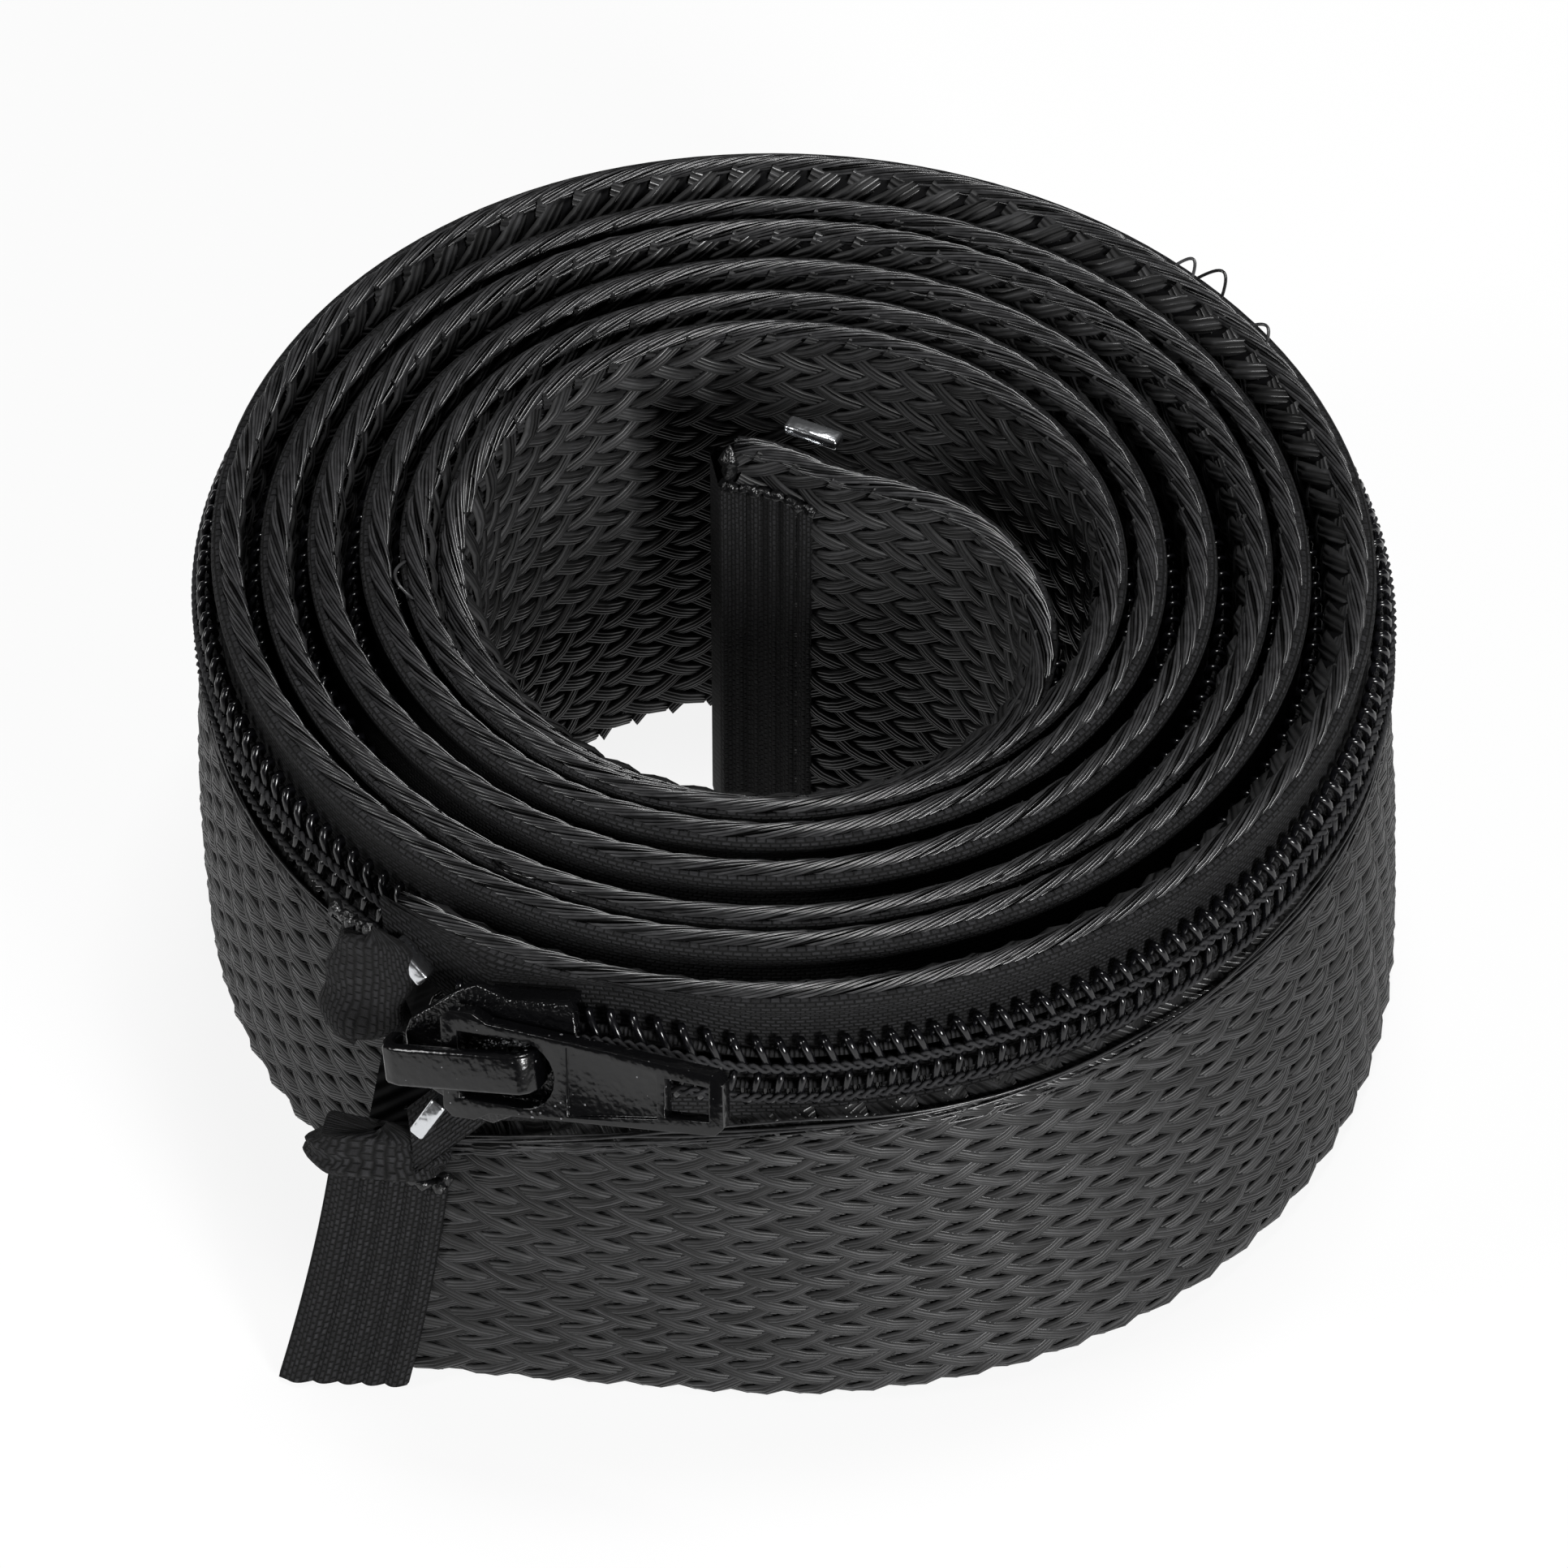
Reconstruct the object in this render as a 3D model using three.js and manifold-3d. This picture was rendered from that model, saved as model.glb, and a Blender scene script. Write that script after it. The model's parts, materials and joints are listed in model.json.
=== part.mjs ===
// Zippered cable sleeve, rolled up: a flat tube of braided monofilament that a coil
// zipper closes along its upper edge, wound in a spiral that stands on its folded edge.
// Millimetres and degrees, +Z up. The roll is built round its own axis and then moved so
// that the origin is on the floor under the middle of the whole object.

import * as THREE from 'three';
import { mergeVertices } from 'three/addons/utils/BufferGeometryUtils.js';
import Module from 'manifold-3d';

const wasm = await Module();
wasm.setup();

// The roll, seen from above: angles count from +X towards +Y
const sleeveHeight = 60;
const outerRadius = 64;
const turnGaps = [7.2, 4.7, 5.5, 5.5, 4.7, 4.7];
const outerEndAngle = -128;
const innerEndAngle = 105 + 360 * turnGaps.length;
const stepStart = 105;
const stepEnd = 228;
const curlStart = -40;
const curlTurn = 64;
const curlDepth = 17.1;
const curlSwing = 4;

// The braided wall and its selvage
const wall = 0.9;
const channelGap = 1.95;
const foldHeight = 3;
const selvageWidth = 1.3;
const selvageDrop = 0.9;
const neckDrop = 3;
const neckHeight = sleeveHeight - neckDrop;
const neckSetback = 2.4;
const seamDrop = 18.5;
const seamHeight = sleeveHeight - seamDrop;
const seamDroop = 15.5;
const cellLength = 5;
const cellRows = 8;
const cellRelief = 0.35;
const wallBulge = 0.7;

// How the bottom of the outermost turn leans outward
const skirt = 2.8;
const skirtPower = 2.2;
const skirtEnd = 60;
const skirtWave = 1.9;
const waveAngle = -50;
const waveReach = 28;
const endFlare = 13.5;
const flareReach = 31;
const flarePower = 1.7;
const endSpring = 2.5;
const springReach = 11;
const springDrop = 20;
const springFade = 15;

// Turns whose selvage leans outward, as [middle angle, reach, lean], and where it dips
const selvageLeans = [[720, 230, 1.1], [1680, 170, 1.2], [2040, 150, 2.1]];
const dipAngle = 2060;
const dipReach = 120;
const dipDepth = 4;

// The zipper chain
const chainDrop = 10;
const chainHeight = sleeveHeight - chainDrop;
const chainHalfWidth = 4.9;
const coilThickness = 2.1;
const coilPitch = 2.2;
const toothDepth = 0.5;
const meshGap = 0.3;
const tapeThickness = 0.55;
const clearance = 0.35;
const tapeDrop = 0.7;
const tapeTop = sleeveHeight - tapeDrop;
const tapeOverlap = 3.4;
const tapeInset = 0.8;
const hemRise = 3.2;
const tapeSlack = 0.15;
const tailAngle = 11;
const tuckAngle = 8;
const tuckLate = 2;
const chainShort = 26;

// The slider: its seat on the chain and its own sizes
const sliderAngle = -114;
const sliderStand = 5;
const sliderRadius = outerRadius + sliderStand;
const sliderLean = 20;
const sliderTilt = 15;
const sliderLength = 20;
const holdAngle = 9;
const releaseAngle = 24;
const mouthAngle = 4.2;
const mouthSlope = 0.75;
const noseHalfWidth = 2.8;
const shoulderHalfWidth = 8;
const shoulderPlace = -1.8;
const flangeWall = 1.25;
const wingThickness = 1.6;
const wingCorner = 0.8;
const postLength = 6.4;
const postTaper = 2;
const postHalf = 0.9;
const crownLength = 17.8;
const crownWidth = 4.6;
const crownHeight = 4.6;
const crownThickness = 1.5;
const crownForward = 1.4;
const crownRound = 2.2;
const crownCorner = 0.6;
const crownBevel = 0.3;
const pivotSet = 7.6;
const pivotLift = 1.6;
const pullLength = 32;
const pullWidth = 12.4;
const pullTipWidth = 7;
const pullThickness = 2;
const pullBar = 1.9;
const pullSlot = 11;
const pullSlotWidth = 7.8;
const pullYaw = -5;
const pullCorner = 1;
const neckStart = 2.6;
const neckEnd = 4.4;
const windowEdge = 1.6;
const windowTaper = 0.3;
const windowLength = 5;
const windowWidth = 4.6;
const panelLength = 10.2;
const panelGap = 0.9;
const panelDepth = 0.45;
const panelBorder = 2.2;
const pawlWidth = 1.6;
const pawlThickness = 0.6;
const pawlLeaf = 5;
const pawlProng = 0.8;
const pawlSlot = 1.8;
const pawlSetback = 2.2;

// End bands and stops
const bandWidth = 11;
const bandThickness = 1;
const bandLift = 0.4;
const bandRows = 6;
const innerBandDrop = 6;
const innerBandTop = sleeveHeight - innerBandDrop;
const stopLength = 6.3;
const stopThickness = 3.6;
const stopBevel = 0.8;
const stopSpare = 0.7;
const clampLength = 5.2;
const clampWidth = 1.8;
const clampPlace = 9;
const clampTurn = 50;

// Fineness of the curved pieces
const innerStep = 18;
const outerStep = 15;
const fineStep = 4.5;
const fineEnd = -89;

const degree = Math.PI / 180;
const turnOne = outerEndAngle + 360;

// Small number helpers
const clamp = (x) => Math.min(1, Math.max(0, x));
const ease = (x) => clamp(x) ** 2 * (3 - 2 * clamp(x));
const mix = (a, b, w) => a + (b - a) * w;

// Radius of the selvage at an angle counted inward from the outer end
function selvageRadius(angle) {
  let radius = outerRadius;
  turnGaps.forEach((gap, turn) => {
    radius -= gap * ease((angle - stepStart - 360 * turn) / (stepEnd - stepStart));
  });
  const last = angle - 360 * turnGaps.length;
  radius -= curlDepth * ease((last - curlStart) / (curlTurn - curlStart));
  return radius + curlSwing * ease((last - curlTurn) / (innerEndAngle % 360 - curlTurn + 10));
}

// A smooth rise to 1 at a middle angle, and 0 beyond its reach
function bell(angle, middle, reach) {
  return ease(2 - 2 * Math.abs(angle - middle) / reach);
}

// Outward lean of the wall at a height above the floor
function lean(angle, z) {
  const low = clamp(1 - z / sleeveHeight) ** skirtPower;
  const fade = 1 - ease((angle - skirtEnd) / (turnOne - skirtEnd));
  const wave = Math.exp(-(((angle - waveAngle) / waveReach) ** 2));
  const end = clamp((outerEndAngle + flareReach - angle) / flareReach) ** flarePower;
  const spring = clamp((outerEndAngle + springReach - angle) / springReach) ** 2;
  const below = 1 - ease((z - sleeveHeight + springDrop) / springFade);
  const top = ease((z - neckHeight) / (sleeveHeight - neckHeight));
  const rope = selvageLeans.reduce((sum, [at, reach, out]) => sum + out * bell(angle, at, reach), 0);
  return rope * top + low * (skirt * fade + skirtWave * wave + endFlare * end) + endSpring * spring * below;
}

// A point of the rolled wall: out from the selvage line and up from the floor
function wallPoint(angle, out, z) {
  const centre = (a) => new THREE.Vector2(1, 0).rotateAround(new THREE.Vector2(), a * degree)
    .multiplyScalar(selvageRadius(a));
  const here = centre(angle);
  const along = centre(angle + 0.5).sub(centre(angle - 0.5)).normalize();
  const offset = out + lean(angle, z);
  const dip = dipDepth * bell(angle, dipAngle, dipReach) * (z / sleeveHeight) ** 4;
  return new THREE.Vector3(here.x + along.y * offset, here.y - along.x * offset, z - dip);
}

// The slider's own frame: X along the chain to the closed side, Y across it and up, Z out
function sliderFrame() {
  const turn = new THREE.Matrix4().makeRotationZ(sliderAngle * degree);
  const seat = new THREE.Matrix4().makeTranslation(sliderRadius, 0, chainHeight);
  const axes = new THREE.Matrix4().makeBasis(
    new THREE.Vector3(0, 1, 0), new THREE.Vector3(0, 0, 1), new THREE.Vector3(1, 0, 0));
  const back = new THREE.Matrix4().makeRotationX(-sliderLean * degree);
  const tilt = new THREE.Matrix4().makeRotationZ(sliderTilt * degree);
  return turn.multiply(seat).multiply(axes).multiply(back).multiply(tilt);
}

// Chain sections: across from the middle of the chain, and out from its mid-plane
const chainOut = wall / 2 + clearance + tapeSlack + tapeThickness + clearance + coilThickness / 2;
const blendStart = sliderAngle + holdAngle;
const blendEnd = sliderAngle + releaseAngle;
const frame = sliderFrame();
const channelHalf = chainHalfWidth + clearance;

// The two coils part inside the slider's mouth
function spread(angle) {
  const along = (angle - sliderAngle) * degree * sliderRadius;
  return Math.max(0, shoulderPlace - along) * mouthSlope;
}

function chainPoint(angle, across, out) {
  const along = (angle - sliderAngle) * degree * sliderRadius;
  const side = Math.sign(across) * spread(angle);
  const held = new THREE.Vector3(along, across + side, out).applyMatrix4(frame);
  if (angle <= blendStart) return held;
  const free = wallPoint(angle, chainOut + out, chainHeight + across);
  return held.lerp(free, ease((angle - blendStart) / (blendEnd - blendStart)));
}

// A closed skin: lines that run along the roll, joined strip by strip round a section
class Skin {
  constructor() {
    this.points = [];
    this.faces = [];
  }

  line(angles, place) {
    return angles.map((angle) => {
      this.points.push(place(angle));
      return { angle, index: this.points.length - 1 };
    });
  }

  face(a, b, c) {
    this.faces.push([a.index, b.index, c.index]);
  }

  strip(first, second) {
    let i = 0;
    let j = 0;
    while (i < first.length - 1 || j < second.length - 1) {
      const nextFirst = i < first.length - 1 ? first[i + 1].angle : Infinity;
      const nextSecond = j < second.length - 1 ? second[j + 1].angle : Infinity;
      if (nextFirst <= nextSecond) {
        this.face(first[i], first[i + 1], second[j]);
        i += 1;
      } else {
        this.face(first[i], second[j + 1], second[j]);
        j += 1;
      }
    }
  }

  // Quads whose diagonals follow the raised cells of a braid
  weave(first, second, row) {
    for (let i = 0; i < first.length - 1; i += 1) {
      const [a, b, c, d] = [first[i], first[i + 1], second[i + 1], second[i]];
      if ((i + row) % 2) {
        this.face(a, b, c);
        this.face(a, c, d);
      } else {
        this.face(a, b, d);
        this.face(b, c, d);
      }
    }
  }

  cap(ring, flat, reversed) {
    const area = THREE.ShapeUtils.area(flat);
    for (const [a, b, c] of THREE.ShapeUtils.triangulateShape(flat, [])) {
      const turn = THREE.ShapeUtils.area([flat[a], flat[b], flat[c]]);
      const same = Math.sign(turn) === Math.sign(area);
      const corners = same === reversed ? [a, c, b] : [a, b, c];
      this.face(...corners.map((k) => ring[k]));
    }
  }

  // Closes the end of a bent strip, rung by rung from its first edge
  ladder(ring, reversed) {
    const turned = (a, b, c) => (reversed ? this.face(a, c, b) : this.face(a, b, c));
    const count = ring.length;
    for (let k = 0; k < count / 2 - 1; k += 1) {
      const left = ring[(count - k) % count];
      turned(left, ring[k + 1], ring[k + 2]);
      turned(left, ring[k + 2], ring[count - k - 1]);
    }
  }

  geometry() {
    let volume = 0;
    for (const [a, b, c] of this.faces) {
      const cross = new THREE.Vector3().crossVectors(this.points[b], this.points[c]);
      volume += this.points[a].dot(cross);
    }
    const faces = volume < 0 ? this.faces.map(([a, b, c]) => [a, c, b]) : this.faces;
    const geometry = new THREE.BufferGeometry();
    geometry.setFromPoints(this.points);
    geometry.setIndex(faces.flat());
    return geometry;
  }
}

// Angles at which a piece has a section: fine at the outer end, coarse along the roll
function stations(from, to) {
  const angles = [from];
  const add = (angle) => {
    if (angle > angles.at(-1) + 1 && angle < to - 1) angles.push(angle);
  };
  for (let a = outerEndAngle; a < fineEnd; a += fineStep) add(a);
  const first = Math.ceil(fineEnd / outerStep) * outerStep;
  for (let a = first; a < stepStart + outerStep; a += outerStep) add(a);
  const second = Math.ceil(stepStart / innerStep) * innerStep;
  for (let a = second; a < to; a += innerStep) add(a);
  angles.push(to);
  return angles;
}

// A ribbon of constant make: its section's corners in order, each a function of the angle
function ribbon(from, to, corners) {
  const skin = new Skin();
  const lines = corners.map((corner) => skin.line(corner.angles ?? stations(from, to), corner.place));
  lines.forEach((line, k) => skin.strip(line, lines[(k + 1) % lines.length]));
  skin.ladder(lines.map((line) => line[0]), false);
  skin.ladder(lines.map((line) => line.at(-1)), true);
  return skin.geometry();
}

// A point's place in the upright plane that cuts the roll at an angle
function flatten(point, angle) {
  const out = new THREE.Vector3(Math.cos(angle * degree), Math.sin(angle * degree), 0);
  return new THREE.Vector2(point.dot(out), point.z);
}

// The braid's upper edge on the outside, where the lower tape is sewn in
function seamAt(angle) {
  const end = clamp((sliderAngle + 28 - angle) / 43) ** 1.5;
  return seamHeight - seamDroop * end;
}

// Shift of the inner layer behind the slider's path
function neckShift(angle) {
  return -neckSetback * (1 - ease((angle - stepStart - 10) / 60));
}

// The sleeve: inner layer with its rope-like selvage, bottom fold and outer layer
function braidSleeve() {
  const skin = new Skin();
  const all = stations(outerEndAngle, innerEndAngle);
  const half = wall / 2;
  const outerIn = half + channelGap;
  const outerOut = outerIn + wall;
  const line = (out, z, angles = all) => skin.line(angles, (a) => wallPoint(a, out, z));
  const flat = (outerIn - half) / 2;

  const beadInner = line(-selvageWidth / 2, sleeveHeight - selvageDrop);
  const beadTop = line(0, sleeveHeight);
  const beadOuter = line(selvageWidth / 2, sleeveHeight - selvageDrop);
  const neckOuter = skin.line(all, (a) => wallPoint(a, half + neckShift(a), neckHeight));
  const floorInner = line(half, foldHeight);
  const floorOuter = line(outerIn, foldHeight);
  const topInner = skin.line(all, (a) => wallPoint(a, outerIn, seamAt(a) - wall / 2));
  const topOuter = skin.line(all, (a) => wallPoint(a, outerOut, seamAt(a)));
  const sideOuter = line(outerOut, foldHeight - wall);
  const baseOuter = line(outerIn, 0);
  const baseInner = line(flat, 0);
  const sideInner = line(-half, foldHeight - wall);
  const neckInner = skin.line(all, (a) => wallPoint(a, -half + neckShift(a), neckHeight));

  const columns = Math.round(360 / (cellLength / (outerRadius * degree)));
  const cellAngles = Array.from({ length: columns + 1 }, (_, k) => outerEndAngle + (360 * k) / columns);
  const rows = Array.from({ length: cellRows }, (_, row) => skin.line(cellAngles, (a) => {
    const share = (row + 1) / (cellRows + 1);
    const z = mix(seamAt(a), foldHeight - wall, share);
    const column = Math.round((a - outerEndAngle) * columns / 360);
    const raised = (row + column) % 2 ? cellRelief : -cellRelief / 2;
    return wallPoint(a, outerOut + raised + wallBulge * Math.sin(Math.PI * share), z);
  }));

  // The cells stop after the first turn, and past it the lines above and below them meet
  const split = topOuter.findIndex((p) => p.angle > turnOne);
  const ends = [topOuter[split - 1], ...rows.map((p) => p.at(-1)), sideOuter[split - 1]];
  ends.slice(1).forEach((p, i) => skin.face(ends[i], topOuter[split], p));
  skin.strip(topOuter.slice(split), sideOuter.slice(split - 1));
  skin.strip(topOuter.slice(0, split), rows[0]);
  rows.slice(1).forEach((row, k) => skin.weave(rows[k], row, k));
  skin.strip(rows.at(-1), sideOuter.slice(0, split));
  skin.strip(beadOuter, neckOuter);
  skin.strip(neckOuter, floorInner);
  skin.strip(sideInner, neckInner);
  skin.strip(neckInner, beadInner);
  skin.strip(beadInner, beadTop);
  skin.strip(beadTop, beadOuter);
  skin.strip(floorInner, floorOuter);
  skin.strip(floorOuter, topInner);
  skin.strip(topInner, topOuter);
  skin.strip(sideOuter, baseOuter);
  skin.strip(baseOuter, baseInner);
  skin.strip(baseInner, sideInner);

  const upper = [beadInner, beadTop, beadOuter, neckOuter, floorInner, floorOuter, topInner, topOuter];
  const lower = [sideOuter, baseOuter, baseInner, sideInner, neckInner];
  const start = [...upper, ...rows, ...lower].map((l) => l[0]);
  const end = [...upper, ...lower].map((l) => l.at(-1));
  const flats = (ring, angle) => ring.map((p) => flatten(skin.points[p.index], angle));
  skin.cap(start, flats(start, outerEndAngle), false);
  skin.cap(end, flats(end, innerEndAngle), true);
  return skin.geometry();
}

// A tape's two faces lie behind its coil; the lines give places from its outer edge inward
const tapeBack = -coilThickness / 2 - clearance - tapeThickness;
const tapeFace = -coilThickness / 2 - clearance;
const tapeStart = sliderAngle - tailAngle;
const tuckStart = blendEnd + tuckLate - tuckAngle;

function upperTape() {
  const edge = channelHalf + flangeWall + clearance;
  const top = (out) => (a) => wallPoint(a, chainOut + out, tapeTop);
  const held = (across, out) => (a) => chainPoint(a, across, out);
  return ribbon(tapeStart, innerEndAngle, [
    { place: top(tapeBack) }, { place: top(tapeFace) }, { place: held(edge, tapeFace) },
    { place: held(tapeInset, tapeFace) }, { place: held(tapeInset, tapeBack) },
    { place: held(edge, tapeBack) },
  ]);
}

function lowerTape() {
  const edge = -shoulderHalfWidth - clearance;
  const hemOut = wall / 2 + channelGap - clearance - tapeThickness;
  const sunk = (a) => ease((a - tuckStart) / tuckAngle);
  const behind = (a) => ease((a - tuckStart) / tuckAngle + 1);
  const hemHeight = (a) => seamAt(a) + mix(hemRise, -tapeOverlap, sunk(a));
  const hem = (out) => (a) => wallPoint(a, hemOut + out + mix(wall, 0, behind(a)), hemHeight(a));
  const held = (across, out) => (a) => chainPoint(a, across, out);
  return ribbon(tapeStart, innerEndAngle, [
    { place: hem(0) }, { place: hem(tapeThickness) }, { place: held(edge, tapeFace) },
    { place: held(-tapeInset, tapeFace) }, { place: held(-tapeInset, tapeBack) },
    { place: held(edge, tapeBack) },
  ]);
}

const coilStart = sliderAngle - mouthAngle;
const chainEnd = innerEndAngle - chainShort;

// One coil of the zipper: a bar whose outer edge is notched into teeth on the first turn
function coil(side) {
  const teeth = Math.floor((turnOne - coilStart) * degree * outerRadius / coilPitch);
  const toothAngle = (turnOne - coilStart) / teeth / 2;
  const notched = Array.from({ length: 2 * teeth + 1 }, (_, k) => coilStart + k * toothAngle);
  const plain = stations(coilStart, chainEnd).filter((a) => a > turnOne + toothAngle);
  const valley = (a) => (a <= turnOne ? Math.round((a - coilStart) / toothAngle) % 2 : 0);
  const front = coilThickness / 2;
  const tip = (a) => chainPoint(a, side * (chainHalfWidth - toothDepth * valley(a)),
    front - toothDepth * valley(a));
  return ribbon(coilStart, chainEnd, [
    { place: (a) => chainPoint(a, side * meshGap / 2, -front) },
    { place: (a) => chainPoint(a, side * meshGap / 2, front) },
    { place: tip, angles: [...notched, ...plain] },
    { place: (a) => chainPoint(a, side * chainHalfWidth, -front) },
  ]);
}

// The knitted band that binds a cut end: a channel round the wall's edge, seen from above
function endBand(edgeAngle, inward, high, innerHigh) {
  const skin = new Skin();
  const gap = clearance / (selvageRadius(edgeAngle) * degree);
  const reach = bandWidth / (selvageRadius(edgeAngle) * degree);
  const thick = bandThickness / (selvageRadius(edgeAngle) * degree);
  const outer = wall * 1.5 + channelGap + cellRelief + clearance + wallBulge;
  const inner = -wall / 2 - clearance;
  const deep = edgeAngle < 0 ? neckSetback : 0;
  const outside = outer + bandThickness;
  const inside = inner - deep - bandThickness;
  const plan = [
    [reach, outer, high], [reach, outside, high], [-gap - thick, outside, high],
    [-gap - thick, inside, innerHigh], [reach, inside, innerHigh],
    [reach, inner - deep, innerHigh], [-gap, inner - deep, innerHigh], [-gap, outer, high],
  ];
  const shares = Array.from({ length: bandRows + 1 }, (_, k) => k / bandRows);
  const lines = plan.map(([along, out, top]) => skin.line(shares, (share) => {
    return wallPoint(edgeAngle + inward * along, out, mix(bandLift, top, share));
  }));
  lines.forEach((line, k) => skin.strip(line, lines[(k + 1) % lines.length]));
  const flat = plan.map(([along, out]) => new THREE.Vector2(along, out));
  skin.cap(lines.map((line) => line[0]), flat, false);
  skin.cap(lines.map((line) => line.at(-1)), flat, true);
  return skin.geometry();
}

// Solids for joining and cutting
function toSolid(geometry) {
  const bare = geometry.clone();
  bare.deleteAttribute('normal');
  bare.deleteAttribute('uv');
  const merged = mergeVertices(bare, 1e-4);
  const mesh = new wasm.Mesh({
    numProp: 3,
    vertProperties: new Float32Array(merged.attributes.position.array),
    triVerts: new Uint32Array(merged.index.array),
  });
  return new wasm.Manifold(mesh);
}

function toGeometry(solid) {
  const mesh = solid.getMesh();
  const geometry = new THREE.BufferGeometry();
  geometry.setAttribute('position', new THREE.BufferAttribute(new Float32Array(mesh.vertProperties), 3));
  geometry.setIndex(new THREE.BufferAttribute(new Uint32Array(mesh.triVerts), 1));
  return geometry;
}

function polygon(points) {
  return new THREE.Shape(points.map(([x, y]) => new THREE.Vector2(x, y)));
}

// A plate in the slider's X-Y plane between two levels
function plate(shape, low, high) {
  const geometry = new THREE.ExtrudeGeometry(shape, {
    depth: high - low, bevelEnabled: false, curveSegments: 6,
  });
  return geometry.translate(0, 0, low);
}

function block(x0, x1, y0, y1, z0, z1) {
  const geometry = new THREE.BoxGeometry(x1 - x0, y1 - y0, z1 - z0);
  return geometry.translate((x0 + x1) / 2, (y0 + y1) / 2, (z0 + z1) / 2);
}

// Levels of the slider above and below the chain's mid-plane
const roof = coilThickness / 2 + clearance + 0.1;
const roofTop = roof + wingThickness;
const cellar = tapeBack - clearance;
const cellarBase = cellar - wingThickness;
const lip = tapeFace + clearance;
const halfLength = sliderLength / 2;
const narrowHalf = channelHalf + flangeWall;

function wingOutline() {
  const upper = [
    [halfLength, narrowHalf - wingCorner], [halfLength - wingCorner, narrowHalf],
    [shoulderPlace + postLength - postTaper, narrowHalf],
    [shoulderPlace + wingCorner, shoulderHalfWidth],
    [shoulderPlace - wingCorner, shoulderHalfWidth - wingCorner / 2],
    [-halfLength + wingCorner, noseHalfWidth + wingCorner], [-halfLength, noseHalfWidth - wingCorner],
  ];
  const lower = upper.map(([x, y]) => [x, -y]).reverse();
  return polygon([...upper, ...lower]);
}

// Two wings, joined at the mouth by the post that parts the coils, with side flanges
function sliderBody() {
  const bite = wingThickness / 3;
  let solid = toSolid(plate(wingOutline(), roof, roofTop));
  solid = solid.add(toSolid(plate(wingOutline(), cellarBase, cellar)));
  const tip = shoulderPlace - wingCorner;
  const post = polygon([
    [tip, 0], [tip - postTaper, postHalf], [tip - postLength, noseHalfWidth - postHalf],
    [tip - postLength, -noseHalfWidth + postHalf], [tip - postTaper, -postHalf],
  ]);
  solid = solid.add(toSolid(plate(post, cellar - bite, roof + bite)));
  for (const side of [-1, 1]) {
    const edges = [side * channelHalf, side * narrowHalf].sort((a, b) => a - b);
    const flange = block(shoulderPlace + 1, halfLength - wingCorner, ...edges, lip, roof + bite);
    solid = solid.add(toSolid(flange));
  }
  const slotHalf = pawlWidth / 2 + clearance;
  const slot = block(pawlPlace - pawlSlot / 2, pawlPlace + pawlSlot / 2, -slotHalf, slotHalf,
    roof - 1, roofTop + 1);
  return toGeometry(solid.subtract(toSolid(slot)));
}

// The arched cap that holds the pull
const crownFront = -halfLength - crownForward;
const crownBack = crownFront + crownLength;
const crownFoot = roofTop + clearance;
const crownTop = roofTop + crownHeight;
const pawlPlace = crownBack - crownThickness - pawlSetback;

function sliderCrown() {
  const t = crownThickness;
  const c = crownCorner;
  const under = crownTop - t;
  const outline = polygon([
    [crownFront, crownFoot], [crownFront, crownTop - crownRound], [crownFront + c, crownTop - c],
    [crownFront + crownRound, crownTop], [crownBack - crownRound + c, crownTop],
    [crownBack - c, crownTop - c], [crownBack, crownTop - crownRound + c], [crownBack, crownFoot],
    [crownBack - t, crownFoot], [crownBack - t, under - c], [crownBack - t - c, under],
    [crownFront + t + c, under], [crownFront + t, under - c], [crownFront + t, crownFoot],
  ]);
  const arch = new THREE.ExtrudeGeometry(outline, {
    depth: crownWidth - 2 * crownBevel,
    bevelThickness: crownBevel, bevelSize: crownBevel, bevelOffset: -crownBevel, bevelSegments: 1,
  });
  return arch.translate(0, 0, crownBevel - crownWidth / 2).rotateX(Math.PI / 2);
}

// The leaf that locks the slider, with its prong through the roof
function lockPawl() {
  const low = crownFoot + clearance;
  const front = pawlPlace + 1;
  const half = pawlWidth / 2;
  const leaf = block(front - pawlLeaf, front, -half, half, low, low + pawlThickness);
  const prong = block(pawlPlace - pawlProng / 2, pawlPlace + pawlProng / 2, -half, half,
    roof + clearance, low + pawlThickness / 2);
  return toGeometry(toSolid(leaf).add(toSolid(prong)));
}

// The pull, flat in its own X-Y plane with its pivot bar on the Y axis
const pivotPlace = crownFront + pivotSet;
const pivotLevel = roofTop + pivotLift;

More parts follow.
